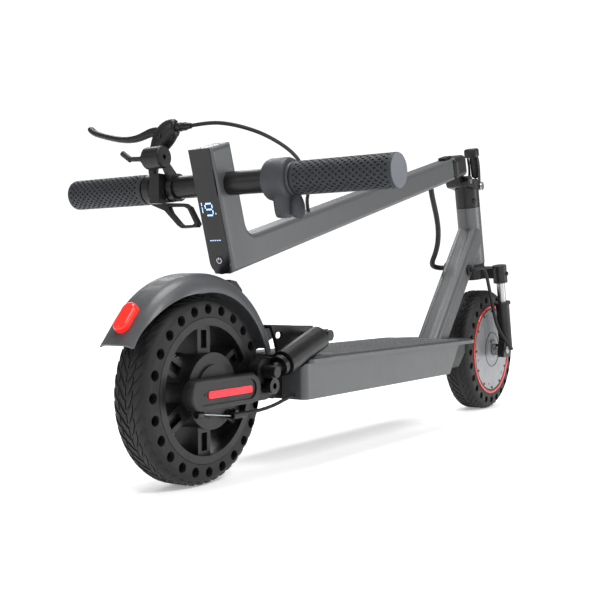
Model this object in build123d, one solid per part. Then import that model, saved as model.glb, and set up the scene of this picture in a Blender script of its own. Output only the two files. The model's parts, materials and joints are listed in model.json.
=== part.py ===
"""Folding electric kick scooter, stored folded: stem laid back over the deck and rear wheel.

Units are millimetres. X points forward, Y to the rider's left, Z up, and the wheels stand on Z = 0.
Everything is laid out from the rear axle and moved at the end, so that X = 0 is mid-length.
"""
import os
from math import cos, pi, radians, sin, tan

from build123d import *

# ---------------------------------------------------------------- driving dimensions
WHEELBASE = 818.0
WHEEL_RADIUS = 108.0
TYRE_WIDTH = 50.0
TYRE_SHOULDER = 14.0
TYRE_HOLES = 24
TYRE_HOLE_RADIUS = 6.0
TYRE_HOLE_CIRCLE = 92.5

RIM_SEAT = 78.5
RIM_INNER = 73.6
RIM_FLANGE = 82.4
RIM_WIDTH = 50.4
RIM_FLANGE_THICKNESS = 4.0
SPOKES = 6
SPOKE_WIDTH = 22.0
DRUM_RADIUS = 43.0

DECK_WIDTH = 144.0
DECK_BOTTOM = 87.0
DECK_SIDE_TOP = 131.0
DECK_REAR = 128.0
DECK_FRONT_LOW = 538.0
DECK_FRONT_HIGH = 572.0
DECK_WALL = 4.0
PLATE_THICKNESS = 5.0
PLATE_OVERHANG = 3.0
PLATE_REAR = 138.0
PLATE_FRONT = 668.0
PLATE_NOSE_RADIUS = 55.0
MAT_THICKNESS = 2.5
NECK_WIDTH = 80.0

RAKE = 12.0
AXIS_AHEAD = 8.0
HEAD_TUBE_RADIUS = 21.0
HEAD_TUBE_LOW = 161.0
HEAD_TUBE_HIGH = 263.0
STEERER_RADIUS = 14.0
LEG_SPACING = 96.0
LEG_AHEAD = 4.0
STANCHION_RADIUS = 7.4
SLEEVE_RADIUS = 12.0
SLEEVE_TOP = 88.0
FORK_TRAVEL = 18.0
DOWN_TUBE_WIDTH = 41.0
DOWN_TUBE_DEPTH = 46.0
DOWN_TUBE_CORNER = 15.0
DOWN_TUBE_RISE = 49.5
DOWN_TUBE_FOOT = 627.0
TUBE_WALL = 3.0

STEM_RISE = 14.8
STEM_DEPTH = 36.0
STEM_WIDTH = 32.0
STEM_CORNER = 6.0
STEM_LENGTH = 648.0
STEM_START_X = 57.0
STEM_START_Z = 240.0
ARM_LEAN = 16.8
ARM_LENGTH = 150.0
ARM_DEPTH = 44.0
ARM_INNER_RADIUS = 18.0
PANEL_THICKNESS = 2.5
HINGE_OFFSET = 29.0
KNUCKLE_RADIUS = 10.0

HANDLEBAR_HALF = 239.3
BAR_RADIUS = 14.0
BAR_UP_ARM = 103.0
BAR_AHEAD = 28.0
GRIP_RADIUS = 19.3
RIGHT_GRIP_START = 109.6
LEFT_GRIP_START = 111.2
THROTTLE_RADIUS = 24.5

PIVOT_X = 80.0
PIVOT_Z = 108.0
ARM_IN = 38.0
ARM_OUT = 46.0
ARM_HALF_HEIGHT = 17.0
ARM_REAR = -45.0
COVER_OUT = 53.0
AXLE_RADIUS = 6.0
PIVOT_BOLT_RADIUS = 6.0
SHOCK_ANGLE = 18.5
SHOCK_LEVER = 18.0
SHOCK_Y = 58.0
SHOCK_RADIUS = 15.5
SHOCK_TOP = 120.0
SHOCK_ROD_RADIUS = 4.5

FENDER_RADIUS = 133.0
FENDER_SHEET = 2.5
FENDER_WIDTH = 62.0
FENDER_SKIRT = 111.0
FENDER_CROWN = 20.0
FENDER_BACK = 50.0
FENDER_FRONT = 72.0
FLAP_LENGTH = 36.0

MOTOR_AXLE_RADIUS = 7.0
FRONT_RIM_FLANGE = 80.0
MOTOR_COVER_RADIUS = 72.5

BEARING_OUTER = 14.0
CAM_X = -31.0
CAM_Z = 111.0
CAM_RADIUS = 4.5
LEVER_END_X = -34.0
LEVER_END_Z = 85.4
BRAKE_Y = -39.0
ARM_TRAVEL = 7.5
COVER_FRONT = 46.0
STRIP_REAR = -33.0
STRIP_FRONT = 46.0
STRIP_HALF_HEIGHT = 4.0
SHOCK_BOLT_RADIUS = 4.0
SHOCK_PIN_RADIUS = 4.0

BAY_REAR = 166.0
BAY_FRONT = 532.0
PORT_X = 500.0
PORT_Z = 109.0
PORT_RADIUS = 9.0
STAND_X = 330.0
STAND_Y = 50.0
STAND_Z = 72.5
STAND_PIN = 14.5
STAND_SPLAY = 20.0
STAND_REACH = 62.0

HEADSET_OUTER = 17.5
STANCHION_LOW = 42.0
HINGE_PIN_RADIUS = 4.0
LEVER_PIN_RADIUS = 5.0
LEVER_AHEAD = 34.0
LEVER_UP = 296.0

LAMP_RADIUS = 12.0
BUTTON_RADIUS = 5.5
BUTTON_UP = 17.0
PANEL_WIDTH = 30.0
PERCH_X0 = 44.0
PERCH_X1 = 62.0
LEVER_PIVOT_Y = 78.0
LEVER_PIVOT_Z = 408.0
BELL_X = 26.0
BELL_Z = 381.0

RUNNING = 0.05
GAP = 0.5

# ---------------------------------------------------------------- derived places
HALF_DECK = DECK_WIDTH / 2
PLATE_TOP = DECK_SIDE_TOP + PLATE_THICKNESS
TAIL_REACH = FENDER_RADIUS * sin(radians(FENDER_BACK)) + FLAP_LENGTH * cos(radians(FENDER_BACK))
FRAME_X = (TAIL_REACH - WHEELBASE - WHEEL_RADIUS) / 2

STEER_UP = Vector(-sin(radians(RAKE)), 0, cos(radians(RAKE)))
STEER_FORWARD = Vector(cos(radians(RAKE)), 0, sin(radians(RAKE)))
STEER_FOOT = Vector(WHEELBASE + AXIS_AHEAD, 0, WHEEL_RADIUS)
STEM_ALONG = Vector(cos(radians(STEM_RISE)), 0, sin(radians(STEM_RISE)))
STEM_UP = Vector(-sin(radians(STEM_RISE)), 0, cos(radians(STEM_RISE)))
STEM_START = Vector(STEM_START_X, 0, STEM_START_Z)
ARM_UP = Vector(-sin(radians(ARM_LEAN)), 0, cos(radians(ARM_LEAN)))
ARM_FORWARD = Vector(cos(radians(ARM_LEAN)), 0, sin(radians(ARM_LEAN)))
SHOCK_ALONG = Vector(cos(radians(SHOCK_ANGLE)), 0, sin(radians(SHOCK_ANGLE)))
SHOCK_UP = Vector(-sin(radians(SHOCK_ANGLE)), 0, cos(radians(SHOCK_ANGLE)))
FOLD_ANGLE = 90.0 + STEM_RISE - RAKE
PIVOT = Vector(PIVOT_X, 0, PIVOT_Z)
SHOCK_EYE = PIVOT + SHOCK_UP * SHOCK_LEVER
SHOCK_HEAD = SHOCK_EYE + SHOCK_ALONG * SHOCK_TOP
FRONT_AXLE = Vector(WHEELBASE, 0, WHEEL_RADIUS)
REAR_AXLE = Vector(0, 0, WHEEL_RADIUS)
BAY_HALF = HALF_DECK - DECK_WALL
PORT = Vector(PORT_X, HALF_DECK, PORT_Z)
CAP_HINGE = PORT + Vector(0, 1.8, PORT_RADIUS + 6)
STAND = Vector(STAND_X, STAND_Y, STAND_Z)
STAND_AXIS = Vector(0, cos(radians(STAND_SPLAY)), sin(radians(STAND_SPLAY)))
LEVER_PIVOT = Vector((PERCH_X0 + PERCH_X1) / 2, LEVER_PIVOT_Y, LEVER_PIVOT_Z)
BELL = Vector(BELL_X, 0, BELL_Z)
BAR = STEM_START + ARM_UP * BAR_UP_ARM + ARM_FORWARD * BAR_AHEAD


def steer(forward, up, y=0.0):
    """Point in the steering frame: forward of the steering axis, up along it, and to the left."""
    return STEER_FOOT + STEER_FORWARD * forward + STEER_UP * up + Vector(0, y, 0)


def along_stem(along, up, y=0.0):
    """Point in the stem's frame: along its underside from the head, and up from the underside."""
    return STEM_START + STEM_ALONG * along + STEM_UP * up + Vector(0, y, 0)


def along_shock(along, y=0.0):
    """Point on a shock's axis, measured from its lower eye."""
    return SHOCK_EYE + SHOCK_ALONG * along + Vector(0, y, 0)


def axes_meet():
    """Where the folded stem's centre line crosses the steering axis, both in the XZ plane."""
    middle = along_stem(0, STEM_DEPTH / 2)
    gap = STEER_FOOT - middle
    cross = STEM_ALONG.X * STEER_UP.Z - STEM_ALONG.Z * STEER_UP.X
    reach = (gap.X * STEER_UP.Z - gap.Z * STEER_UP.X) / cross
    return middle + STEM_ALONG * reach


FOLD_HALF = radians((180.0 - FOLD_ANGLE) / 2)
FOLD_BISECTOR = (STEM_ALONG * -1 + STEER_UP * -1).normalized()
FOLD = axes_meet() + FOLD_BISECTOR * (HINGE_OFFSET / sin(FOLD_HALF))
FOLD_ALONG = (FOLD - STEM_START).dot(STEM_ALONG)
FOLD_UP = (FOLD - STEER_FOOT).dot(STEER_UP)


# ---------------------------------------------------------------- small builders
def box(x0, x1, y0, y1, z0, z1):
    centre = Pos((x0 + x1) / 2, (y0 + y1) / 2, (z0 + z1) / 2)
    return centre * Box(x1 - x0, y1 - y0, z1 - z0)


def rod(start, end, radius):
    run = end - start
    return extrude(Plane(origin=start, z_dir=run) * Circle(radius), amount=run.length)


def tube(start, end, radius, bore):
    run = end - start
    ring = Circle(radius) - Circle(bore)
    return extrude(Plane(origin=start, z_dir=run) * ring, amount=run.length)


def cross_rod(centre, radius, y0, y1):
    """Cylinder along Y through the centre's X and Z."""
    return rod(Vector(centre.X, y0, centre.Z), Vector(centre.X, y1, centre.Z), radius)


def side_plane(y):
    """Sketch plane seen from the right: its x is X, its y is Z, and extrusion runs towards -Y."""
    return Plane(origin=(0, y, 0), x_dir=(1, 0, 0), z_dir=(0, -1, 0))


def side_plate(points, y0, y1, corner=0.0):
    """Plate between two Y values, from an outline of points in X and Z."""
    outline = Polygon(*[(p.X, p.Z) for p in points], align=None)
    if corner:
        outline = fillet(outline.vertices(), corner)
    return extrude(side_plane(y1) * outline, amount=y1 - y0, dir=(0, -1, 0))


def side_sketch(sketch, y0, y1):
    return extrude(side_plane(y1) * sketch, amount=y1 - y0, dir=(0, -1, 0))


def front_plate(points, x0, x1):
    """Plate between two X values, from an outline of (Y, Z) pairs."""
    plane = Plane(origin=(x0, 0, 0), x_dir=(0, 1, 0), z_dir=(1, 0, 0))
    return extrude(plane * Polygon(*points, align=None), amount=x1 - x0, dir=(1, 0, 0))


def point(x, z):
    return Vector(x, 0, z)


def pill(x0, x1, z, half_height, y0, y1):
    slot = SlotCenterToCenter(x1 - x0, 2 * half_height)
    return side_sketch(Pos((x0 + x1) / 2, z) * slot, y0, y1)


def turned(outline, centre):
    """Solid of revolution about a wheel's axle, from a sketch of width (x) and radius (y)."""
    ring = revolve(Plane.YZ * outline, axis=Axis.Y)
    return Pos(centre.X, centre.Y, centre.Z) * ring


def band(y0, y1, r0, r1):
    """Rectangle in width and radius, for turned parts."""
    return Pos((y0 + y1) / 2, (r0 + r1) / 2) * Rectangle(y1 - y0, r1 - r0)


def mirrored(shape):
    return mirror(shape, about=Plane.XZ)


def pair(shape):
    return [shape, mirrored(shape)]


def cord(points, radius):
    """Round cord along straight runs joined by tangent arcs; prints the arcs' radii."""
    spots = [Vector(*p) for p in points]
    arcs = []
    for before, here, after in zip(spots, spots[1:], spots[2:]):
        turn = radians((here - before).get_angle(after - here))
        shorter = min((here - before).length, (after - here).length)
        arcs.append(0.45 * shorter / tan(turn / 2))
    path = FilletPolyline(*spots, radius=arcs)
    section = Plane(origin=spots[0], z_dir=spots[1] - spots[0]) * Circle(radius)
    solid = sweep(section, path=path)
    ideal = path.length * pi * radius ** 2
    print("cord radii", [round(a, 1) for a in arcs], "length", round(path.length, 1),
          "volume ratio", round(solid.volume / ideal, 4))
    return solid


def save(name, *shapes):
    """Writes one node: every solid of the given shapes, moved to the mid-length frame."""
    solids = []
    for shape in shapes:
        solids += [Pos(FRAME_X, 0, 0) * solid for solid in shape.solids()]
    whole = solids[0] if len(solids) == 1 else Compound(children=solids)
    export_step(whole, "parts/" + name + ".step")


# ---------------------------------------------------------------- wheels
def tyre(centre, flange):
    half = TYRE_WIDTH / 2
    outer = band(-half, half, flange + GAP, WHEEL_RADIUS)
    shoulders = outer.vertices().sort_by(Axis.Y)[-2:]
    bead = RIM_WIDTH / 2 - RIM_FLANGE_THICKNESS
    section = fillet(shoulders, TYRE_SHOULDER) + band(-bead, bead, RIM_SEAT, flange + 2)
    spots = PolarLocations(TYRE_HOLE_CIRCLE, TYRE_HOLES)
    holes = Sketch() + [spot * Circle(TYRE_HOLE_RADIUS) for spot in spots]
    cut = side_sketch(Pos(centre.X, centre.Z) * holes, -TYRE_WIDTH, TYRE_WIDTH)
    return turned(section, centre) - cut


def rim_band(centre, flange):
    half = RIM_WIDTH / 2
    inner = half - RIM_FLANGE_THICKNESS
    section = band(-half, half, RIM_INNER, RIM_SEAT)
    section += band(inner, half, RIM_INNER, flange)
    section += band(-half, -inner, RIM_INNER, flange)
    return turned(section, centre)


def rear_rim():
    """Rim, six recessed spokes and the brake drum in one casting, with two bearing seats."""
    wheel = rim_band(REAR_AXLE, RIM_FLANGE)
    spoke = box(-SPOKE_WIDTH / 2, SPOKE_WIDTH / 2, -18, 18, DRUM_RADIUS - 4, RIM_INNER + 1)
    slot = box(-5, 5, 12, 20, DRUM_RADIUS + 5, RIM_INNER - 5)
    spoke -= slot + mirrored(slot)
    for index in range(SPOKES):
        wheel += Pos(0, 0, WHEEL_RADIUS) * Rot(0, 360 / SPOKES * index, 0) * spoke
    hub = band(-25, 22, 0, DRUM_RADIUS) - band(-25, -4, 0, DRUM_RADIUS - 5)
    hub -= band(-4, 22, 0, 8.5) + band(-4, 5, 0, BEARING_OUTER) + band(13, 22, 0, BEARING_OUTER)
    return wheel + turned(hub, REAR_AXLE)


def rear_bearings():
    inner = AXLE_RADIUS + RUNNING
    right = turned(band(-4, 5, inner, BEARING_OUTER), REAR_AXLE)
    left = turned(band(13, 22, inner, BEARING_OUTER), REAR_AXLE)
    return [right, left]


def motor_shell():
    """Rim band with the hub motor's magnet drum inside it."""
    shell = rim_band(FRONT_AXLE, FRONT_RIM_FLANGE)
    return shell + turned(band(-20, 20, 66, RIM_INNER + 1), FRONT_AXLE)


def motor_covers():
    """Two dished side covers with bolt bosses, running on the fixed axle."""
    bore = MOTOR_AXLE_RADIUS + RUNNING
    outline = Polygon((20, bore), (29, bore), (29, 15), (26.5, 20), (25.4, MOTOR_COVER_RADIUS),
                      (20, MOTOR_COVER_RADIUS), align=None)
    cover = turned(outline, FRONT_AXLE)
    heads = [spot * Circle(2.6) for spot in PolarLocations(64, 6, start_angle=15)]
    sockets = side_sketch(Pos(FRONT_AXLE.X, FRONT_AXLE.Z) * (Sketch() + heads), 25, 29)
    return pair(cover - sockets)


def motor_stator():
    return turned(band(-16, 16, MOTOR_AXLE_RADIUS, 62), FRONT_AXLE)


def front_axle():
    """Fixed motor axle with shoulders between the covers and the fork, and its two end nuts."""
    axle = cross_rod(FRONT_AXLE, MOTOR_AXLE_RADIUS, -56, 56)
    shoulder = cross_rod(FRONT_AXLE, 10.5, 30, 35.7)
    axle += shoulder + mirrored(shoulder)
    return axle


# ---------------------------------------------------------------- deck and frame
def deck_body():
    """Extruded deck with an overhanging top plate, a solid tail and a battery bay open below."""
    side = side_plate([point(DECK_REAR, DECK_BOTTOM), point(DECK_FRONT_LOW, DECK_BOTTOM),
                       point(DECK_FRONT_HIGH, DECK_SIDE_TOP), point(DECK_REAR, DECK_SIDE_TOP)],
                      -HALF_DECK, HALF_DECK)
    rear_corners = side.edges().filter_by(Axis.Z).sort_by(Axis.X)[:2]
    side = fillet(rear_corners, 9)
    half_plate = HALF_DECK + PLATE_OVERHANG
    plan = Pos((PLATE_REAR + PLATE_FRONT) / 2, 0) * Rectangle(PLATE_FRONT - PLATE_REAR, 2 * half_plate)
    ends = plan.vertices().sort_by(Axis.X)
    plan = fillet(ends[-2:], PLATE_NOSE_RADIUS)
    plan = fillet(plan.vertices().sort_by(Axis.X)[:2], 9)
    plate = extrude(Plane.XY.offset(DECK_SIDE_TOP) * plan, amount=PLATE_THICKNESS)
    body = side + plate
    body -= box(BAY_REAR, BAY_FRONT, -BAY_HALF, BAY_HALF, DECK_BOTTOM - 1, DECK_SIDE_TOP - DECK_WALL)
    nest = rod(along_shock(20, SHOCK_Y), along_shock(140, SHOCK_Y), SHOCK_RADIUS + 1.5)
    body -= nest + mirrored(nest)
    body -= rod(PORT, PORT + Vector(0, -9, 0), PORT_RADIUS)
    return body


def deck_grip_mat():
    plan = Pos((152 + 590) / 2, 0) * Rectangle(590 - 152, DECK_WIDTH - 12)
    plan = fillet(plan.vertices(), 12)
    mat = extrude(Plane.XY.offset(PLATE_TOP) * plan, amount=MAT_THICKNESS)
    nest = rod(along_shock(20, SHOCK_Y), along_shock(140, SHOCK_Y), SHOCK_RADIUS + 1.5)
    return mat - (nest + mirrored(nest))


def deck_bottom_cover():
    """Plate that closes the battery bay, with the lug that carries the kickstand."""
    cover = box(BAY_REAR + GAP, BAY_FRONT - GAP, -BAY_HALF + GAP, BAY_HALF - GAP,
                DECK_BOTTOM, DECK_BOTTOM + 2.5)
    lug = box(STAND.X - 14, STAND.X + 14, STAND.Y - 6, STAND.Y + 6, STAND.Z - 7, DECK_BOTTOM)
    bore = rod(STAND + STAND_AXIS * -20, STAND + STAND_AXIS * 20, 4 + RUNNING)
    return cover + lug - bore


def kickstand():
    """Side stand folded back under the deck, turning on a pin through the lug."""
    root = STAND + STAND_AXIS * STAND_PIN
    foot_start = root + Vector(-STAND_REACH, 0, 0)
    foot_end = root + Vector(-STAND_REACH - 16, 0, 0)
    pin = rod(STAND + STAND_AXIS * -10, root, 4)
    leg = rod(root + Vector(4.5, 0, 0), foot_end + Vector(1, 0, 0), 5.5)
    foot = rod(foot_start, foot_end, 7.2)
    toe = rod(foot_end + Vector(8, 1, 0), foot_end + Vector(8, 17, 0), 3.5)
    return pin + leg + foot + toe


def battery_and_controller():
    """Battery pack and the motor controller ahead of it, inside the bay."""
    low = DECK_BOTTOM + 4
    high = DECK_SIDE_TOP - DECK_WALL - 1
    battery = box(BAY_REAR + 4, 430, -60, 60, low, high)
    controller = box(440, BAY_FRONT - 6, -40, 40, low, high - 6)
    return [battery, controller]


def deck_castings():
    """Neck block under the plate's nose, and the two tail lugs that carry the swingarms."""
    neck = side_plate([point(DECK_FRONT_LOW + 1, DECK_BOTTOM + 0.5), point(642, DECK_BOTTOM + 3),
                       point(PLATE_FRONT - 2, 112), point(PLATE_FRONT - 2, DECK_SIDE_TOP),
                       point(DECK_FRONT_HIGH, DECK_SIDE_TOP)], -NECK_WIDTH / 2, NECK_WIDTH / 2)
    lug = pill(PIVOT_X, DECK_REAR + 20, PIVOT_Z, ARM_HALF_HEIGHT, 29.5, 37)
    lug = lug & box(0, DECK_REAR, 0, 60, 0, 200)
    lug += box(PIVOT_X + 28, DECK_REAR, 29.5, 37, DECK_BOTTOM + 2, DECK_SIDE_TOP - 4)
    lug -= cross_rod(PIVOT, PIVOT_BOLT_RADIUS, 20, 45)
    return [neck] + pair(lug)


def down_tube_line():
    foot = Vector(DOWN_TUBE_FOOT, 0, PLATE_TOP)
    rise = Vector(cos(radians(DOWN_TUBE_RISE)), 0, sin(radians(DOWN_TUBE_RISE)))
    return foot, rise


def down_tube():
    """Rounded box tube from the deck's nose up to the head tube."""
    foot, rise = down_tube_line()
    section = RectangleRounded(DOWN_TUBE_DEPTH, DOWN_TUBE_WIDTH, DOWN_TUBE_CORNER)
    hollow = RectangleRounded(DOWN_TUBE_DEPTH - 2 * TUBE_WALL, DOWN_TUBE_WIDTH - 2 * TUBE_WALL,
                              DOWN_TUBE_CORNER - TUBE_WALL)
    start = foot - rise * 60
    plane = Plane(origin=start, x_dir=(rise.Z, 0, -rise.X), z_dir=rise)
    bar = extrude(plane * (section - hollow), amount=340)
    bar -= box(400, 900, -60, 60, 0, PLATE_TOP)
    bar -= rod(steer(0, 60), steer(0, 400), HEAD_TUBE_RADIUS)
    pieces = bar.solids().sort_by(Axis.X)
    return pieces[0]


def head_tube():
    return tube(steer(0, HEAD_TUBE_LOW), steer(0, HEAD_TUBE_HIGH), HEAD_TUBE_RADIUS, HEADSET_OUTER)


def headset_bearings():
    bore = STEERER_RADIUS + RUNNING
    low = tube(steer(0, HEAD_TUBE_LOW + 2), steer(0, HEAD_TUBE_LOW + 11), HEADSET_OUTER, bore)
    high = tube(steer(0, HEAD_TUBE_HIGH - 11), steer(0, HEAD_TUBE_HIGH - 2), HEADSET_OUTER, bore)
    return [low, high]


def cable_grommets():
    """Oval grommet on the down tube's left side and ribbed outlet on its right side."""
    foot, rise = down_tube_line()
    side = DOWN_TUBE_WIDTH / 2
    left = foot + rise * 158 + Vector(0, side, 0)
    right = foot + rise * 152 + Vector(0, -side, 0)
    left_plug = rod(left, left + Vector(0, 4, 0), 8)
    right_plug = rod(right, right + Vector(0, -4, 0), 9)
    return [left_plug, right_plug]


def rear_fender():
    """Crowned sheet mudguard: an arc over the tyre and a straight tail flap, with side skirts."""
    outer = band(-FENDER_WIDTH / 2, FENDER_WIDTH / 2, FENDER_SKIRT, FENDER_RADIUS)
    outer = fillet(outer.vertices().sort_by(Axis.Y)[-2:], FENDER_CROWN)
    inner = band(FENDER_SHEET - FENDER_WIDTH / 2, FENDER_WIDTH / 2 - FENDER_SHEET,
                 FENDER_SKIRT - 5, FENDER_RADIUS - FENDER_SHEET)
    inner = fillet(inner.vertices().sort_by(Axis.Y)[-2:], FENDER_CROWN - FENDER_SHEET)
    section = outer - inner
    sweep_arc = FENDER_BACK + FENDER_FRONT
    arc = revolve(Plane.YZ * section, axis=Axis.Y, revolution_arc=sweep_arc)
    arc = Rot(0, -FENDER_BACK, 0) * arc
    flap = Rot(0, -FENDER_BACK, 0) * extrude(Plane.YZ * section, amount=-FLAP_LENGTH)
    shell = Pos(0, 0, WHEEL_RADIUS) * (arc + flap)
    return shell - cross_rod(point(-17, 94), 124, -60, 60)


def tail_point(along, out, y=0.0):
    """Point on the flap: along it from the arc's end, and out from its outer face."""
    turn = radians(FENDER_BACK)
    back = Vector(-cos(turn), 0, -sin(turn))
    normal = Vector(-sin(turn), 0, cos(turn))
    return REAR_AXLE + normal * (FENDER_RADIUS + out) + back * along + Vector(0, y, 0)


def tail_light():
    """Capsule lamp standing on the back of the mudguard."""
    back = tail_point(1, 0) - tail_point(0, 0)
    plane = Plane(origin=tail_point(3, -3), x_dir=back, z_dir=tail_point(0, 1) - tail_point(0, 0))
    lamp = extrude(plane * SlotOverall(37, 18), amount=12)
    outer_rim = lamp.edges().group_by(Axis(plane.origin, plane.z_dir))[-1]
    lamp = fillet(outer_rim, 4)
    under_flap = extrude(plane.offset(3) * Pos(30, 0) * Rectangle(62, 70), amount=-8)
    under_arc = turned(band(-40, 40, 0, FENDER_RADIUS), REAR_AXLE)
    return lamp - under_arc - under_flap


def fender_point(ahead, radius, y=0.0):
    """Point over the rear wheel, at an angle ahead of the top and a radius from the axle."""
    turn = radians(ahead)
    return REAR_AXLE + Vector(radius * sin(turn), y, radius * cos(turn))


def fender_hook():
    """Catch block bolted to the mudguard, with a claw that points forward under the stem head."""
    low = FENDER_RADIUS
    seat = side_plate([fender_point(27, low - 1), fender_point(27, low + 8), fender_point(36, low + 8),
                       fender_point(36, low - 1)], -8, 8)
    claw = side_plate([fender_point(33, low + 3), fender_point(29, low + 10), fender_point(32, low + 13),
                       fender_point(38, low + 11), fender_point(40, low + 6), fender_point(38, low + 7),
                       fender_point(35, low + 7.5)], -6, 6)
    return seat + claw - turned(band(-40, 40, 0, FENDER_RADIUS), REAR_AXLE)


def fender_bracket():
    """Folded bracket bolted to the deck's tail: it carries the mudguard and the shocks' top bolts."""
    face = DECK_REAR
    web = side_plate([point(face - 4, 102), point(face, 102), point(face, PLATE_TOP + 1),
                      point(face + 18, PLATE_TOP + 1), point(205, 159), point(208, 174),
                      point(112, 178), point(100, 150)], 27, 31)
    web -= side_sketch(Pos(131, 165) * SlotOverall(15, 8), 20, 40)
    web -= cross_rod(SHOCK_HEAD, SHOCK_BOLT_RADIUS, 20, 40)
    flange = box(face - 4, face, -27, 27, 102, PLATE_TOP)
    bridge = side_plate([point(112, 174), point(165, 172), point(165, 176), point(112, 178)], -27, 27)
    whole = web + mirrored(web) + flange + bridge
    return whole - turned(band(-40, 40, 0, FENDER_RADIUS), REAR_AXLE)


def suspension_bolts():
    """Swingarm pivot bolts with socket caps, and the shocks' top bolts, two of each."""
    pivot = cross_rod(PIVOT, PIVOT_BOLT_RADIUS, 27.5, ARM_OUT + 0.3)
    pivot += cross_rod(PIVOT, 9.5, ARM_OUT + 0.3, 60)
    pivot += cross_rod(PIVOT, 8.5, 27, 29.5)
    pivot -= side_sketch(Pos(PIVOT_X, PIVOT_Z) * RegularPolygon(4, 6), 55, 61)
    top = cross_rod(SHOCK_HEAD, SHOCK_BOLT_RADIUS, 27, 66) + cross_rod(SHOCK_HEAD, 7, 66, 71)
    return pair(pivot) + pair(top)


def shock_cover():
    """Shock housing: closed lower end with the rod's bore, and a top eye on the bracket's bolt."""
    can = tube(along_shock(31, SHOCK_Y), along_shock(106, SHOCK_Y), SHOCK_RADIUS, SHOCK_RADIUS - 3)
    floor = tube(along_shock(27, SHOCK_Y), along_shock(31, SHOCK_Y), SHOCK_RADIUS, SHOCK_ROD_RADIUS + RUNNING)
    roof = rod(along_shock(106, SHOCK_Y), along_shock(110, SHOCK_Y), SHOCK_RADIUS)
    neck = rod(along_shock(110, SHOCK_Y), along_shock(SHOCK_TOP, SHOCK_Y), 6.5)
    eye = cross_rod(SHOCK_HEAD, 8, SHOCK_Y - 7, SHOCK_Y + 7)
    return can + floor + roof + neck + eye - cross_rod(SHOCK_HEAD, SHOCK_BOLT_RADIUS, 20, 80)


def shock_rod():
    eye = cross_rod(SHOCK_EYE, 8, SHOCK_Y - 6, SHOCK_Y + 6.5)
    stem = rod(along_shock(6, SHOCK_Y), along_shock(50, SHOCK_Y), SHOCK_ROD_RADIUS)
    piston = rod(along_shock(50, SHOCK_Y), along_shock(57, SHOCK_Y), SHOCK_RADIUS - 3.3)
    seat = rod(along_shock(7, SHOCK_Y), along_shock(17, SHOCK_Y), 7.2)
    bump_stop = rod(along_shock(16.5, SHOCK_Y), along_shock(23.5, SHOCK_Y), 12.5)
    return eye + stem + piston + seat + bump_stop - cross_rod(SHOCK_EYE, SHOCK_PIN_RADIUS + GAP, 40, 80)


def shock_spring():
    return tube(along_shock(57.5, SHOCK_Y), along_shock(105.5, SHOCK_Y), SHOCK_RADIUS - 4, 8)


def swingarm():
    """Left arm: long pill plate, shock lug with a scallop for the pivot cap, and the shock's pin."""
    arm = pill(ARM_REAR, PIVOT_X, PIVOT_Z, ARM_HALF_HEIGHT, ARM_IN, ARM_OUT)
    lug = cross_rod(SHOCK_EYE, 15, ARM_IN, ARM_OUT + 4)
    lug -= cross_rod(PIVOT, 10.5, ARM_OUT, ARM_OUT + 5)
    pin = cross_rod(SHOCK_EYE, SHOCK_PIN_RADIUS, ARM_OUT, SHOCK_Y + 8)
    head = cross_rod(SHOCK_EYE, 6.5, SHOCK_Y + 7, SHOCK_Y + 10)
    arm = arm + lug + pin + head
    arm -= cross_rod(REAR_AXLE, AXLE_RADIUS, 30, 60)
    return arm - cross_rod(PIVOT, PIVOT_BOLT_RADIUS + RUNNING, 30, ARM_OUT + 1)


def swingarm_cover():
    """Pill cap over the axle nut, with a shallow recess that holds the reflector strip."""
    cover = pill(ARM_REAR, COVER_FRONT, PIVOT_Z, ARM_HALF_HEIGHT, ARM_OUT, COVER_OUT)
    rim = cover.edges().group_by(Axis.Y)[-1]
    cover = fillet(rim, 2)
    cover -= pill(ARM_REAR + 4, COVER_FRONT - 4, PIVOT_Z, ARM_HALF_HEIGHT - 5.5, COVER_OUT - 2, COVER_OUT + 1)
    return cover - cross_rod(REAR_AXLE, 11.5, ARM_OUT, COVER_OUT - 3)


def reflector_strip():
    return side_sketch(Pos((STRIP_REAR + STRIP_FRONT) / 2, PIVOT_Z - 0.5)
                       * RectangleRounded(STRIP_FRONT - STRIP_REAR, 2 * STRIP_HALF_HEIGHT, 3),
                       COVER_OUT - 2, COVER_OUT - 0.7)


def rear_axle():
    """Fixed rear axle with a nut outside each arm."""
    axle = cross_rod(REAR_AXLE, AXLE_RADIUS, -49.8, 49.8)
    nut = side_sketch(Pos(0, WHEEL_RADIUS) * (RegularPolygon(10.5, 6) - Circle(AXLE_RADIUS)),
                      ARM_OUT, ARM_OUT + 3.8)
    return [axle] + pair(nut)


def brake_plate():
    """Drum's backing plate on the right side, with the cable stop below it."""
    plate = band(-31, -26, AXLE_RADIUS, DRUM_RADIUS + 0.5) + band(-34, -31, AXLE_RADIUS, 30)
    plate += band(-ARM_IN, -34, AXLE_RADIUS, 11)
    whole = turned(plate, REAR_AXLE)
    whole += cross_rod(point(31, WHEEL_RADIUS), 5, -26, -8)
    stop = box(27, 33, -42, -27, 74, 84) + box(20, 33, -31, -27, 74, 92)
    barrel = rod(Vector(24, BRAKE_Y, 78), Vector(46, BRAKE_Y, 78), 4.6)
    whole = whole + stop + barrel - rod(Vector(20, BRAKE_Y, 78), Vector(50, BRAKE_Y, 78), 2.6)
    return whole - cross_rod(point(CAM_X, CAM_Z), CAM_RADIUS + RUNNING, -45, -20)


def brake_shoes():
    ring = turned(band(-24, -9, 30, DRUM_RADIUS - 6.5), REAR_AXLE)
    shoes = ring - box(-60, 60, -30, 0, WHEEL_RADIUS - 7, WHEEL_RADIUS + 10)
    return shoes.solids()


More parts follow.
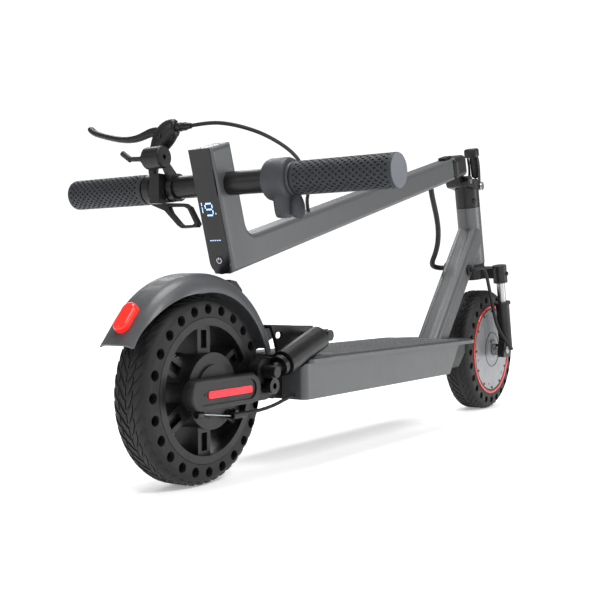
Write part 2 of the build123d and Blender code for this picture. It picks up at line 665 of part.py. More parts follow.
def brake_arm():
    """Cam shaft through the backing plate, its lever, and the trunnion that takes the cable."""
    shaft = cross_rod(point(CAM_X, CAM_Z), CAM_RADIUS, -35, -9)
    lever_top = cross_rod(point(CAM_X, CAM_Z), 6.5, -37.5, -35)
    lever_end = cross_rod(point(LEVER_END_X, LEVER_END_Z), 5, -37.5, -35)
    bar = side_plate([point(CAM_X - 5, CAM_Z), point(CAM_X + 5, CAM_Z), point(LEVER_END_X + 4, LEVER_END_Z),
                      point(LEVER_END_X - 4, LEVER_END_Z)], -37.5, -35)
    trunnion = rod(Vector(LEVER_END_X - 5, BRAKE_Y, LEVER_END_Z), Vector(LEVER_END_X + 5, BRAKE_Y, LEVER_END_Z), 3.7)
    return shaft + lever_top + lever_end + bar + trunnion


def rear_brake_cable():
    """Inner wire from the trunnion to the stop, and the outer from the stop to the deck's tail."""
    wire = rod(Vector(LEVER_END_X + 5.4, BRAKE_Y, LEVER_END_Z), Vector(23.6, BRAKE_Y, 78), 1.0)
    outer = cord([(46.3, BRAKE_Y, 78), (64, BRAKE_Y, 78), (82, -44, 80), (98, -49, 84), (111, -53, 89),
                  (DECK_REAR - 8, -55, 91.4), (DECK_REAR - 0.3, -55, 91.4)], 2.2)
    return [wire, outer]


# ---------------------------------------------------------------- steering
def fork_crown():
    """Crown with split clamps for the legs, and the steerer pressed into it."""
    crown = rod(steer(0, 133), steer(0, 160), 20)
    arms = crown_block()
    crown += arms
    for side in (-1, 1):
        y = side * LEG_SPACING / 2
        crown += rod(steer(LEG_AHEAD, 124, y), steer(LEG_AHEAD, 155, y), 12.5)
    steerer = tube(steer(0, 150), steer(0, FOLD_UP - 8), STEERER_RADIUS, STEERER_RADIUS - 3)
    crown += steerer
    for side in (-1, 1):
        y = side * LEG_SPACING / 2
        crown -= rod(steer(LEG_AHEAD, 120, y), steer(LEG_AHEAD, 151, y), STANCHION_RADIUS)
    return crown


def crown_block():
    plane = Plane(origin=steer(0, 134), x_dir=STEER_FORWARD, z_dir=STEER_UP)
    return extrude(plane * Pos(LEG_AHEAD / 2, 0) * RectangleRounded(24, LEG_SPACING, 8), amount=18)


def fork_stanchion():
    y = LEG_SPACING / 2
    return tube(steer(LEG_AHEAD, STANCHION_LOW, y), steer(LEG_AHEAD, 151, y), STANCHION_RADIUS,
                STANCHION_RADIUS - 2)


def fork_spring():
    y = LEG_SPACING / 2
    return tube(steer(LEG_AHEAD, 20.2, y), steer(LEG_AHEAD, STANCHION_LOW - 0.2, y), STANCHION_RADIUS - 0.6, 5)


def fork_lower():
    """Sleeve with its dust flange, and the dropout block that clamps the motor axle."""
    y = LEG_SPACING / 2
    leg = rod(steer(LEG_AHEAD, 0, y), steer(LEG_AHEAD, SLEEVE_TOP, y), SLEEVE_RADIUS)
    leg += rod(steer(LEG_AHEAD, SLEEVE_TOP - 4, y), steer(LEG_AHEAD, SLEEVE_TOP, y), SLEEVE_RADIUS + 2.5)
    dropout = side_plate([FRONT_AXLE + Vector(-15, 0, -13), FRONT_AXLE + Vector(19, 0, -13),
                          FRONT_AXLE + Vector(22, 0, 16), FRONT_AXLE + Vector(-8, 0, 18)], y - 6, y + 6, 5)
    leg += dropout
    leg -= rod(steer(LEG_AHEAD, 20, y), steer(LEG_AHEAD, SLEEVE_TOP + 1, y), STANCHION_RADIUS + RUNNING)
    leg -= cross_rod(FRONT_AXLE, MOTOR_AXLE_RADIUS, y - 20, y + 20)
    return leg


def hinge_base():
    """Collar clamped on the steerer, with two rear knuckles and the fold lever's tongue in front."""
    low = HEAD_TUBE_HIGH + 0.8
    top = FOLD_UP - GAP
    base = rod(steer(0, low), steer(0, top), HEAD_TUBE_RADIUS)
    for side in (-1, 1):
        outer = 21 * side
        inner = 10.5 * side
        knuckle = rod(FOLD + Vector(0, inner, 0), FOLD + Vector(0, outer, 0), KNUCKLE_RADIUS)
        reach = side_plate([steer(-HINGE_OFFSET, top - 9.5), steer(-8, top - 16), steer(-8, top),
                            steer(-HINGE_OFFSET, top)], min(inner, outer), max(inner, outer))
        base += knuckle + reach
    base -= cross_rod(FOLD, KNUCKLE_RADIUS + 0.8, -10.5, 10.5)
    tongue = side_plate([steer(16, LEVER_UP - 9), steer(LEVER_AHEAD, LEVER_UP - 9),
                         steer(LEVER_AHEAD + 7, LEVER_UP), steer(LEVER_AHEAD, LEVER_UP + 8.5),
                         steer(16, LEVER_UP + 8.5)], -7.5, 7.5)
    base += tongue - rod(steer(0, low), steer(0, top + 20), HEAD_TUBE_RADIUS - 1)
    base -= rod(steer(0, low - 1), steer(0, FOLD_UP - 8), STEERER_RADIUS)
    base -= cross_rod(FOLD, HINGE_PIN_RADIUS, -30, 30)
    return base - cross_rod(steer(LEVER_AHEAD, LEVER_UP), LEVER_PIN_RADIUS, -20, 20)


def hinge_pins():
    """Fold hinge's pin and the fold lever's pin, both held in the base."""
    fold = rod(FOLD + Vector(0, -22.5, 0), FOLD + Vector(0, 22.5, 0), HINGE_PIN_RADIUS)
    lever = cross_rod(steer(LEVER_AHEAD, LEVER_UP), LEVER_PIN_RADIUS, -13.5, 13.5)
    return [fold, lever]


def fold_lever():
    """Channel-shaped clamp lever that stands up in front of the hinge, with a thumb knob on top."""
    cheek = side_plate([steer(LEVER_AHEAD - 7, LEVER_UP - 8), steer(LEVER_AHEAD + 8, LEVER_UP - 8),
                        steer(LEVER_AHEAD + 11, LEVER_UP + 30), steer(LEVER_AHEAD + 8, LEVER_UP + 62),
                        steer(LEVER_AHEAD - 5, LEVER_UP + 62), steer(LEVER_AHEAD - 5, LEVER_UP + 20)],
                       8, 11.5, 2.5)
    web = side_plate([steer(LEVER_AHEAD + 8, LEVER_UP + 12), steer(LEVER_AHEAD + 9.5, LEVER_UP + 12),
                      steer(LEVER_AHEAD + 10.5, LEVER_UP + 30), steer(LEVER_AHEAD + 7.5, LEVER_UP + 62),
                      steer(LEVER_AHEAD + 3, LEVER_UP + 62), steer(LEVER_AHEAD + 7, LEVER_UP + 30)], -8.2, 8.2)
    knob = side_plate([steer(LEVER_AHEAD - 6, LEVER_UP + 58), steer(LEVER_AHEAD + 9, LEVER_UP + 58),
                       steer(LEVER_AHEAD + 11, LEVER_UP + 78), steer(LEVER_AHEAD - 7, LEVER_UP + 78)],
                      -12, 12, 4)
    lever = cheek + mirrored(cheek) + web + knob
    return lever - cross_rod(steer(LEVER_AHEAD, LEVER_UP), LEVER_PIN_RADIUS + RUNNING, -20, 20)


def motor_cable():
    """Lead from the down tube's outlet to the end of the motor axle, on the right."""
    foot, rise = down_tube_line()
    side = -DOWN_TUBE_WIDTH / 2 - 4
    outlet = foot + rise * 152
    return cord([(outlet.X, side - 0.3, outlet.Z), (outlet.X, side - 11, outlet.Z), (743, -41, 258),
                 (759, -41, 240), (772, -40, 218), (783, -41, 194), (790, -42, 170), (794, -47, 148),
                 (800, -56, 130), (808, -64, 116), (FRONT_AXLE.X - 1, -64, FRONT_AXLE.Z + 2)], 3.0)


# ---------------------------------------------------------------- stem and head
def stem_tube():
    """Folding stem: a hollow tube and the head arm that stands up from its rear end."""
    top = STEM_DEPTH
    meet = ARM_DEPTH - PANEL_THICKNESS
    corner = along_stem(meet + 2.5, top)
    outline = [STEM_START + ARM_FORWARD * PANEL_THICKNESS, along_stem(STEM_LENGTH, 0),
               along_stem(STEM_LENGTH, top), corner,
               STEM_START + ARM_UP * ARM_LENGTH + ARM_FORWARD * ARM_DEPTH,
               STEM_START + ARM_UP * ARM_LENGTH + ARM_FORWARD * PANEL_THICKNESS]
    sketch = Polygon(*[(p.X, p.Z) for p in outline], align=None)
    inner_corner = sketch.vertices().sort_by_distance((corner.X, corner.Z, 0))[0]
    sketch = fillet(inner_corner, ARM_INNER_RADIUS)
    body = extrude(side_plane(STEM_WIDTH / 2) * sketch, amount=STEM_WIDTH)
    sides = body.edges().group_by(Axis.Y)
    body = fillet(sides[0] + sides[-1], STEM_CORNER)
    wall = TUBE_WALL
    inner = [along_stem(30, wall), along_stem(STEM_LENGTH + 1, wall), along_stem(STEM_LENGTH + 1, top - wall),
             along_stem(30, top - wall)]
    body -= side_plate(inner, wall - STEM_WIDTH / 2, STEM_WIDTH / 2 - wall, 4)
    shaft = [STEM_START + ARM_UP * 30 + ARM_FORWARD * (PANEL_THICKNESS + wall + 8),
             STEM_START + ARM_UP * 30 + ARM_FORWARD * (ARM_DEPTH - wall),
             STEM_START + ARM_UP * (ARM_LENGTH - 10) + ARM_FORWARD * (ARM_DEPTH - wall),
             STEM_START + ARM_UP * (ARM_LENGTH - 10) + ARM_FORWARD * (PANEL_THICKNESS + wall + 8)]
    body -= side_plate(shaft, wall - STEM_WIDTH / 2, STEM_WIDTH / 2 - wall, 3)
    body -= cross_rod(BAR, BAR_RADIUS, -40, 40)
    body -= button_bore(BUTTON_RADIUS + 0.3, 12)
    lens = lamp_place(0)
    return body - extrude(lens * Circle(LAMP_RADIUS), amount=-8)


def lamp_place(out):
    """Plane on the head's top end, which faces forward when the scooter is unfolded."""
    middle = STEM_START + ARM_UP * (ARM_LENGTH + out) + ARM_FORWARD * (ARM_DEPTH + PANEL_THICKNESS) / 2
    return Plane(origin=middle, x_dir=(0, 1, 0), z_dir=ARM_UP)


def button_bore(radius, depth):
    start = STEM_START + ARM_UP * BUTTON_UP
    return rod(start - ARM_FORWARD * 3, start + ARM_FORWARD * depth, radius)


def headlight():
    place = lamp_place(-7.8)
    lens = extrude(place * Circle(LAMP_RADIUS), amount=7.8)
    dome = lens.edges().sort_by(Axis(place.origin, place.z_dir))[-1]
    return fillet(dome, 2)


def display_panel():
    """Glossy strip on the head's rear face, rounded at the button end."""
    plane = Plane(origin=STEM_START, x_dir=(0, 1, 0), z_dir=ARM_FORWARD)
    strip = Pos(0, ARM_LENGTH / 2 + PANEL_WIDTH / 4) * Rectangle(PANEL_WIDTH, ARM_LENGTH - PANEL_WIDTH / 2)
    strip += Pos(0, PANEL_WIDTH / 2) * Circle(PANEL_WIDTH / 2)
    panel = extrude(plane * strip, amount=PANEL_THICKNESS)
    return panel - button_bore(BUTTON_RADIUS + 0.3, 12)


def power_button():
    start = STEM_START + ARM_UP * BUTTON_UP
    return rod(start - ARM_FORWARD * 0.4, start + ARM_FORWARD * 8, BUTTON_RADIUS)


def hinge_collar():
    """Casting on the stem's lower end: the centre knuckle below and the lever's catch above."""
    end = FOLD_ALONG - GAP
    body = side_plate([along_stem(STEM_LENGTH, 0.5), along_stem(end, 0.5), along_stem(end, STEM_DEPTH + 1),
                       along_stem(STEM_LENGTH + 6, STEM_DEPTH + 2), along_stem(STEM_LENGTH, STEM_DEPTH + 1)],
                      -20, 20, 0)
    knuckle_up = (FOLD - STEM_START).dot(STEM_UP)
    web = side_plate([along_stem(FOLD_ALONG - 9, knuckle_up), along_stem(FOLD_ALONG - 0.6, knuckle_up),
                      along_stem(end, 6), along_stem(FOLD_ALONG - 24, 6), along_stem(FOLD_ALONG - 24, 0.6)],
                     -10, 10)
    catch = side_plate([along_stem(STEM_LENGTH + 10, STEM_DEPTH), along_stem(STEM_LENGTH + 22, STEM_DEPTH),
                        along_stem(STEM_LENGTH + 22, STEM_DEPTH + 5), along_stem(STEM_LENGTH + 12, STEM_DEPTH + 8)],
                       -6.5, 6.5)
    body = body + web + cross_rod(FOLD, KNUCKLE_RADIUS, -10, 10) + catch
    return body - cross_rod(FOLD, HINGE_PIN_RADIUS + RUNNING, -30, 30)


def handlebar():
    bar = cross_rod(BAR, BAR_RADIUS, -HANDLEBAR_HALF + 4, HANDLEBAR_HALF - 4)
    return bar - cross_rod(BAR, BAR_RADIUS - 2.5, -300, 300)


def grip(start, side):
    """Rubber sleeve closed at its outer end."""
    end = side * HANDLEBAR_HALF
    sleeve = rod(Vector(BAR.X, side * start, BAR.Z), Vector(BAR.X, end, BAR.Z), GRIP_RADIUS)
    hollow = rod(Vector(BAR.X, side * (start - 1), BAR.Z),
                 Vector(BAR.X, side * (HANDLEBAR_HALF - 4), BAR.Z), BAR_RADIUS)
    return sleeve - hollow


def bar_ring(y0, y1, radius, bore):
    return cross_rod(BAR, radius, y0, y1) - cross_rod(BAR, bore, y0 - 1, y1 + 1)


def throttle_body():
    """Rounded housing clamped on the bar, with the lobe that covers its sensor below."""
    shell = cross_rod(BAR, THROTTLE_RADIUS, -105, -73)
    shell = fillet(shell.edges().filter_by(GeomType.CIRCLE), 3)
    lobe = box(BAR.X - 11, BAR.X + 11, -104, -80, BAR.Z - 45, BAR.Z - 12)
    lobe = fillet(lobe.edges().group_by(Axis.Z)[0], 6)
    return shell + lobe - cross_rod(BAR, BAR_RADIUS, -120, 0)


def throttle_paddle():
    """Thumb paddle on a ring that turns on the bar, between the body and the grip."""
    ring = bar_ring(-109.2, -105.4, 19, BAR_RADIUS + RUNNING)
    drop = box(BAR.X - 8, BAR.X + 8, -109.2, -105.4, BAR.Z - 40, BAR.Z - 16)
    pad = box(BAR.X - 10, BAR.X + 10, -119, -105.4, BAR.Z - 46, BAR.Z - 23)
    pad = fillet(pad.edges().filter_by(Axis.X), 4)
    pad -= cross_rod(BAR, GRIP_RADIUS + 1.5, -130, -109.2)
    return ring + drop + pad - cross_rod(BAR, BAR_RADIUS + RUNNING, -130, -80)


def brake_perch():
    """Clamp on the bar, the lever's housing above it, and the cable adjuster."""
    ring = bar_ring(98.2, 110.6, 18.5, BAR_RADIUS)
    housing = front_plate([(98.2, 358), (110, 358), (104, 392), (98, 412), (88, 434), (64, 433), (61, 404),
                           (72, 398), (92, 392), (98.2, 374)], PERCH_X0, PERCH_X1)
    slot = box(PERCH_X0 + 5.5, PERCH_X1 - 5.5, 69, 130, 394, 428)
    housing -= slot
    pin = rod(Vector(PERCH_X0 - 1.5, LEVER_PIVOT.Y, LEVER_PIVOT.Z),
              Vector(PERCH_X1 + 1.5, LEVER_PIVOT.Y, LEVER_PIVOT.Z), 3)
    barrel = rod(Vector(53, 65, 420), Vector(53, 54, 420), 5.5) + rod(Vector(53, 54, 420), Vector(53, 42, 420), 4.5)
    wire_way = rod(Vector(53, 80, 420), Vector(53, 40, 420), 2.5)
    body = ring + housing + barrel - cross_rod(BAR, BAR_RADIUS, 90, 120)
    return [body - wire_way - pin, pin]


def brake_lever():
    """Curved blade on the perch's pin, with a two-finger reach and an upturned tip."""
    eye = rod(LEVER_PIVOT + Vector(-3.2, 0, 0), LEVER_PIVOT + Vector(3.2, 0, 0), 7)
    root = front_plate([(76, 402), (80, 415), (100, 425), (116, 422), (130, 414), (130, 405), (112, 411),
                        (98, 411)], LEVER_PIVOT.X - 3.2, LEVER_PIVOT.X + 3.2)
    blade = front_plate([(126, 406), (126, 416), (145, 416), (172, 420), (198, 427), (208, 434), (215, 437),
                         (218, 433), (214, 427), (203, 419), (176, 410), (146, 406)],
                        LEVER_PIVOT.X - 6.5, LEVER_PIVOT.X + 6.5)
    blade = fillet(blade.edges().filter_by(Axis.X), 1.5)
    hub = eye + root
    whole = hub + blade
    bore = rod(Vector(40, LEVER_PIVOT.Y, LEVER_PIVOT.Z), Vector(70, LEVER_PIVOT.Y, LEVER_PIVOT.Z), 3 + RUNNING)
    return whole - bore


def bell_body():
    """Round bell on a short arm from its own bar band."""
    dome = cross_rod(BELL, 13.5, 62, 88)
    dome = fillet(dome.edges().filter_by(GeomType.CIRCLE).sort_by(Axis.Y)[0], 2)
    dome -= side_sketch(Pos(BELL.X, BELL.Z) * RegularPolygon(3.2, 6), 61, 66)
    band_ring = bar_ring(63, 71, 17, BAR_RADIUS)
    arm = side_plate([point(BELL.X - 4, BELL.Z), point(BELL.X + 9, BELL.Z - 4), point(BAR.X + 2, BAR.Z + 12),
                      point(BAR.X - 14, BAR.Z + 8)], 64, 70)
    return dome + band_ring + arm - cross_rod(BAR, BAR_RADIUS, 0, 120)


def bell_striker():
    """Thumb striker pivoted beside the bell."""
    hub = cross_rod(BELL, 5, 89.5, 98)
    finger = rod(Vector(BELL.X, 97, BELL.Z), Vector(BELL.X - 2, 116, BELL.Z + 1), 3)
    tip = rod(Vector(BELL.X - 2, 115, BELL.Z), Vector(BELL.X - 3, 128, BELL.Z + 9), 3.6)
    return hub + finger + tip - cross_rod(BELL, 2 + RUNNING, 80, 99)


def paddle_clamp():
    """Band and block that carry the loop paddle."""
    ring = bar_ring(74, 91, 17.5, BAR_RADIUS)
    block = box(BAR.X - 24, BAR.X - 11, 75, 90, BAR.Z - 20, BAR.Z + 16)
    return ring + block - cross_rod(BAR, BAR_RADIUS, 0, 120)


def loop_paddle():
    """Open triangular thumb loop on a ring that turns on the bar."""
    ring = bar_ring(91.6, 97.4, 18, BAR_RADIUS + RUNNING)
    frame = front_plate([(108, 328), (97, 333), (82, 328.5), (52, 326.5), (44, 322), (31, 301), (34, 297),
                         (57, 296.5), (63, 300), (84, 319)], BAR.X - 4, BAR.X + 4)
    frame -= front_plate([(78, 323.5), (53, 322.5), (47, 319.5), (36.5, 302), (39, 300), (56, 300),
                          (60, 302.5), (74, 316)], BAR.X - 6, BAR.X + 6)
    drop = box(BAR.X - 5, BAR.X + 5, 91.6, 97.4, BAR.Z - 20, BAR.Z - 14)
    whole = ring + drop + frame
    whole -= cross_rod(BAR, BAR_RADIUS + RUNNING, 80, 130)
    return whole - (cross_rod(BAR, 18.2, 20, 91.4) + cross_rod(BAR, 19.2, 97.6, 130))


def brake_cable():
    """Outer cable from the perch's adjuster round behind the head to the grommet on the stem."""
    grommet = along_stem(204, STEM_DEPTH + 0.3)
    over = along_stem(204, STEM_DEPTH + 14)
    return cord([(53, 41.7, 420), (54, 22, 421), (59, 2, 420.5), (72, -17, 416.3), (95, -32, 409.5),
                 (125, -37.7, 400.6), (150, -38.5, 392.3), (176, -33.8, 383), (206, -21, 367),
                 (over.X - 8, -8, over.Z + 8), (over.X, 0, over.Z), (grommet.X, 0, grommet.Z)], 2.4)


def cable_bundle():
    """Sleeved cables from the stem's underside to the grommet on the down tube's left side."""
    foot, rise = down_tube_line()
    end = foot + rise * 158 + Vector(0, DOWN_TUBE_WIDTH / 2 + 4, 0)
    start = along_stem(590, -0.3, 4)
    below = along_stem(590, -12, 4)
    return cord([(start.X, start.Y, start.Z), (below.X, below.Y, below.Z), (648, 8, 362), (667, 12, 342),
                 (682, 16, 320), (688, 20, 298), (690, 26, 280), (694, 34, 267), (706, 39, 259),
                 (end.X, 37, end.Z), (end.X, end.Y + 0.3, end.Z)], 4.5)


def charge_port_cap():
    """Rubber cap over the charging socket, hinged at its top edge."""
    face = HALF_DECK + 0.3
    cap = rod(Vector(PORT.X, face, PORT.Z), Vector(PORT.X, face + 3, PORT.Z), PORT_RADIUS + 2.5)
    plug = rod(Vector(PORT.X, face - 2.3, PORT.Z), Vector(PORT.X, face + 1, PORT.Z), PORT_RADIUS - 2)
    tab = box(PORT.X - 4, PORT.X + 4, face, face + 3, PORT.Z + 8, CAP_HINGE.Z)
    roll = rod(CAP_HINGE + Vector(-4, 0, 0), CAP_HINGE + Vector(4, 0, 0), 1.5)
    return cap + plug + tab + roll


def build():
    os.makedirs("parts", exist_ok=True)
    save("deck_body", deck_body())
    save("deck_grip_mat", deck_grip_mat())
    save("deck_bottom_cover", deck_bottom_cover())
    save("battery_and_controller", *battery_and_controller())
    save("deck_castings", *deck_castings())
    save("down_tube", down_tube())
    save("head_tube", head_tube())
    save("headset_bearings", *headset_bearings())
    save("cable_grommets", *cable_grommets())
    save("rear_fender", rear_fender())
    save("tail_light", tail_light())
    save("fender_hook", fender_hook())
    save("fender_bracket", fender_bracket())
    save("suspension_bolts", *suspension_bolts())
    save("shock_covers", *pair(shock_cover()))
    save("shock_rods", *pair(shock_rod()))
    save("shock_springs", *pair(shock_spring()))
    save("swingarms", *pair(swingarm()))
    save("swingarm_covers", *pair(swingarm_cover()))
    save("reflector_strips", *pair(reflector_strip()))
    save("rear_axle", *rear_axle())
    save("brake_plate", brake_plate())
    save("brake_shoes", *brake_shoes())
    save("brake_arm", brake_arm())
    save("rear_brake_cable", *rear_brake_cable())
    save("rear_tyre", tyre(REAR_AXLE, RIM_FLANGE))
    save("rear_rim", rear_rim())
    save("rear_bearings", *rear_bearings())
    save("kickstand", kickstand())
    save("charge_port_cap", charge_port_cap())
    save("fork_crown", fork_crown())
    save("fork_stanchions", *pair(fork_stanchion()))
    save("fork_springs", *pair(fork_spring()))
    save("fork_lowers", *pair(fork_lower()))
    save("front_axle", front_axle())
    save("motor_stator", motor_stator())
    save("motor_shell", motor_shell())
    save("motor_covers", *motor_covers())
    save("front_tyre", tyre(FRONT_AXLE, FRONT_RIM_FLANGE))
    save("motor_cable", motor_cable())
    save("hinge_base", hinge_base())
    save("hinge_pins", *hinge_pins())
    save("fold_lever", fold_lever())
    save("stem_tube", stem_tube())
    save("hinge_collar", hinge_collar())
    save("display_panel", display_panel())
    save("power_button", power_button())
    save("headlight", headlight())
    save("handlebar", handlebar())
    save("grips", grip(RIGHT_GRIP_START, -1), grip(LEFT_GRIP_START, 1))
    save("throttle_body", throttle_body())
    save("throttle_paddle", throttle_paddle())
    save("brake_perch", *brake_perch())
    save("brake_lever", brake_lever())
    save("bell_body", bell_body())
    save("bell_striker", bell_striker())
    save("paddle_clamp", paddle_clamp())
    save("loop_paddle", loop_paddle())
    save("brake_cable", brake_cable())
    save("cable_bundle", cable_bundle())


if __name__ == "__main__":
    build()
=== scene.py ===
"""Looks of the folded electric kick scooter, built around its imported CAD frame. Units are metres."""

import json
from math import atan2, cos, pi, radians, sin, sqrt

import bmesh
import bpy
from mathutils import Matrix, Vector


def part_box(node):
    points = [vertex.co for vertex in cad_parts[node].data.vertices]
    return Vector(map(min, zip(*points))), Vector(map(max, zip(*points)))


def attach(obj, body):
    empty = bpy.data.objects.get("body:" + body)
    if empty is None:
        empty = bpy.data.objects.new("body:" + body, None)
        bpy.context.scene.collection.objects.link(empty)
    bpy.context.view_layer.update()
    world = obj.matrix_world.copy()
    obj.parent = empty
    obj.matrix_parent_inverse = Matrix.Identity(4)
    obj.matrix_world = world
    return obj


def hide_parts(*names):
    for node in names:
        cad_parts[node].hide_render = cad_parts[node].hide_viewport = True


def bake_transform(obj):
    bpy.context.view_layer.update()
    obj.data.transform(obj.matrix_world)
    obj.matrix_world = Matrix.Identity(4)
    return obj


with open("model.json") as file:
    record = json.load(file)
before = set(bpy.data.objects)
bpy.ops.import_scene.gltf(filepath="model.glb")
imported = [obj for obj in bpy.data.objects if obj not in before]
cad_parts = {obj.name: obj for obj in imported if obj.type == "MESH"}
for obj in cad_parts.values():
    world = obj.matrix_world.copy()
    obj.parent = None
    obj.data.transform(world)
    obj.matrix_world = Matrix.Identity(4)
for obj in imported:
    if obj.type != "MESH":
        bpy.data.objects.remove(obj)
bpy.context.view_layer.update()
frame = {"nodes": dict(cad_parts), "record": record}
NODES = frame["nodes"]


# ---------------------------------------------------------------- places, from the frame
def middle(node):
    low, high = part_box(node)
    return (Vector(low) + Vector(high)) / 2


REAR_HUB = middle("rear_tyre")
FRONT_HUB = middle("front_tyre")
BAR = middle("handlebar")
WHEEL_RADIUS = REAR_HUB.z
JOINTS = {joint["name"]: joint for joint in frame["record"]["behaviour"]["joints"]}
STEER_FOOT = Vector(JOINTS["steering"]["pos_m"])
STEER_UP = Vector(JOINTS["steering"]["axis"])
STEER_FORWARD = Vector((STEER_UP.z, 0, -STEER_UP.x))
FOLD = Vector(JOINTS["stem_fold"]["pos_m"])
ARM_FORWARD = Vector(JOINTS["button_press"]["axis"])
ARM_UP = Vector((-ARM_FORWARD.z, 0, ARM_FORWARD.x))
BUTTON = middle("power_button")
LEVER_PIVOT = Vector(JOINTS["brake_lever_pull"]["pos_m"])
STEM_RISE = radians(14.8)
STEM_ALONG = Vector((cos(STEM_RISE), 0, sin(STEM_RISE)))
STEM_UP = Vector((-sin(STEM_RISE), 0, cos(STEM_RISE)))
BUTTON_UP = 0.017
BUTTON_PROUD = 0.0038
STEM_START = BUTTON - ARM_UP * BUTTON_UP - ARM_FORWARD * BUTTON_PROUD
ACROSS = Vector((0, 1, 0))


def steer(forward, up, y=0.0):
    """Place measured from the foot of the steering axis, forward of it and up it."""
    return STEER_FOOT + STEER_FORWARD * forward + STEER_UP * up + ACROSS * y


def along_stem(along, up, y=0.0):
    """Place measured from the stem's head end, along the stem and square to it."""
    return STEM_START + STEM_ALONG * along + STEM_UP * up + ACROSS * y


# ---------------------------------------------------------------- finishes
def node(tree, kind, **inputs):
    made = tree.nodes.new(kind)
    for name, value in inputs.items():
        made.inputs[name.replace("_", " ")].default_value = value
    return made


def noise(tree, place, scale, detail=3.0, roughness=0.6):
    made = node(tree, "ShaderNodeTexNoise", Scale=scale, Detail=detail, Roughness=roughness)
    tree.links.new(place, made.inputs["Vector"])
    return made.outputs["Fac"]


def cells(tree, place, scale):
    made = node(tree, "ShaderNodeTexVoronoi", Scale=scale)
    tree.links.new(place, made.inputs["Vector"])
    return made.outputs["Distance"]


def spread(tree, value, low, high, to_low=0.0, to_high=1.0):
    made = node(tree, "ShaderNodeMapRange", From_Min=low, From_Max=high, To_Min=to_low, To_Max=to_high)
    tree.links.new(value, made.inputs["Value"])
    return made.outputs["Result"]


def tint(tree, value, first, second):
    made = tree.nodes.new("ShaderNodeMix")
    made.data_type = "RGBA"
    made.inputs["A"].default_value = (*first, 1)
    made.inputs["B"].default_value = (*second, 1)
    tree.links.new(value, made.inputs["Factor"])
    return made.outputs["Result"]


def relief(tree, shader, height, strength, distance=0.0004):
    made = node(tree, "ShaderNodeBump", Strength=strength, Distance=distance)
    tree.links.new(height, made.inputs["Height"])
    tree.links.new(made.outputs["Normal"], shader.inputs["Normal"])


def start(name, metallic=0.0, coat=0.0, coat_roughness=0.1, specular=0.3):
    material = bpy.data.materials.new(name)
    material.use_nodes = True
    tree = material.node_tree
    shader = tree.nodes["Principled BSDF"]
    shader.inputs["Metallic"].default_value = metallic
    shader.inputs["Coat Weight"].default_value = coat
    shader.inputs["Coat Roughness"].default_value = coat_roughness
    shader.inputs["Specular IOR Level"].default_value = specular
    place = tree.nodes.new("ShaderNodeTexCoord").outputs["Object"]
    return material, tree, shader, place


def surface(name, colour, worn, gloss, metallic=0.0, coat=0.0, grain=1400.0, grain_depth=0.15, drift=18.0):
    """Colour drifting slowly to a worn tone, gloss from one value to another, and a fine grain."""
    material, tree, shader, place = start(name, metallic, coat)
    cloud = spread(tree, noise(tree, place, drift), 0.35, 0.7)
    fine = noise(tree, place, grain, 2.0)
    tree.links.new(tint(tree, cloud, colour, worn), shader.inputs["Base Color"])
    smear = noise(tree, place, drift * 3.1, 5.0)
    tree.links.new(spread(tree, smear, 0.3, 0.75, *gloss), shader.inputs["Roughness"])
    relief(tree, shader, fine, grain_depth)
    return material


def metallic_paint(name, colour, flake):
    """Satin paint with metal flake under it, the flake lighter than the ground."""
    material, tree, shader, place = start(name, 0.4, 0.15, 0.25, 0.4)
    flakes = spread(tree, cells(tree, place, 2600.0), 0.02, 0.32, 1.0, 0.0)
    tree.links.new(tint(tree, flakes, colour, flake), shader.inputs["Base Color"])
    smear = noise(tree, place, 30.0, 5.0)
    tree.links.new(spread(tree, smear, 0.3, 0.75, 0.36, 0.46), shader.inputs["Roughness"])
    relief(tree, shader, noise(tree, place, 420.0, 3.0), 0.05)
    return material


def rubber(name, colour, dusty, pebble=900.0, depth=0.35):
    """Matt rubber with a pebbled skin and pale dust lying in patches."""
    material, tree, shader, place = start(name)
    dust = spread(tree, noise(tree, place, 45.0, 6.0, 0.7), 0.5, 0.75)
    tree.links.new(tint(tree, dust, colour, dusty), shader.inputs["Base Color"])
    tree.links.new(spread(tree, dust, 0.0, 1.0, 0.55, 0.8), shader.inputs["Roughness"])
    relief(tree, shader, cells(tree, place, pebble), depth)
    return material


def brushed(name, colour, dark, stretch=(1, 60, 1), gloss=(0.25, 0.42)):
    """Machined metal with fine lines drawn along one direction."""
    material, tree, shader, place = start(name, 1.0, 0.0, 0.1, 0.5)
    turned = node(tree, "ShaderNodeMapping", Scale=stretch)
    tree.links.new(place, turned.inputs["Vector"])
    lines = noise(tree, turned.outputs["Vector"], 60.0, 6.0, 0.7)
    tree.links.new(tint(tree, spread(tree, lines, 0.3, 0.7), colour, dark), shader.inputs["Base Color"])
    tree.links.new(spread(tree, lines, 0.3, 0.7, *gloss), shader.inputs["Roughness"])
    relief(tree, shader, lines, 0.06)
    return material


def lens(name, colour, deep, glow, prism=420.0):
    """Moulded lens: a clear gloss skin over a field of small prisms. Each facet is painted from a light
    middle to a deep edge and made to glow, painted light standing for light the prisms catch.
    """
    material, tree, shader, place = start(name, 0.0, 0.18, 0.08)
    facets = cells(tree, place, prism)
    # painted glints: each facet is lighter at its middle and darker at its edge
    shade = tint(tree, spread(tree, facets, 0.1, 0.6), colour, deep)
    tree.links.new(shade, shader.inputs["Base Color"])
    tree.links.new(shade, shader.inputs["Emission Color"])
    # painted glow: the emission stands for light caught by the prisms
    shader.inputs["Emission Strength"].default_value = glow
    tree.links.new(spread(tree, facets, 0.1, 0.6, 0.12, 0.3), shader.inputs["Roughness"])
    relief(tree, shader, facets, 0.12)
    return material


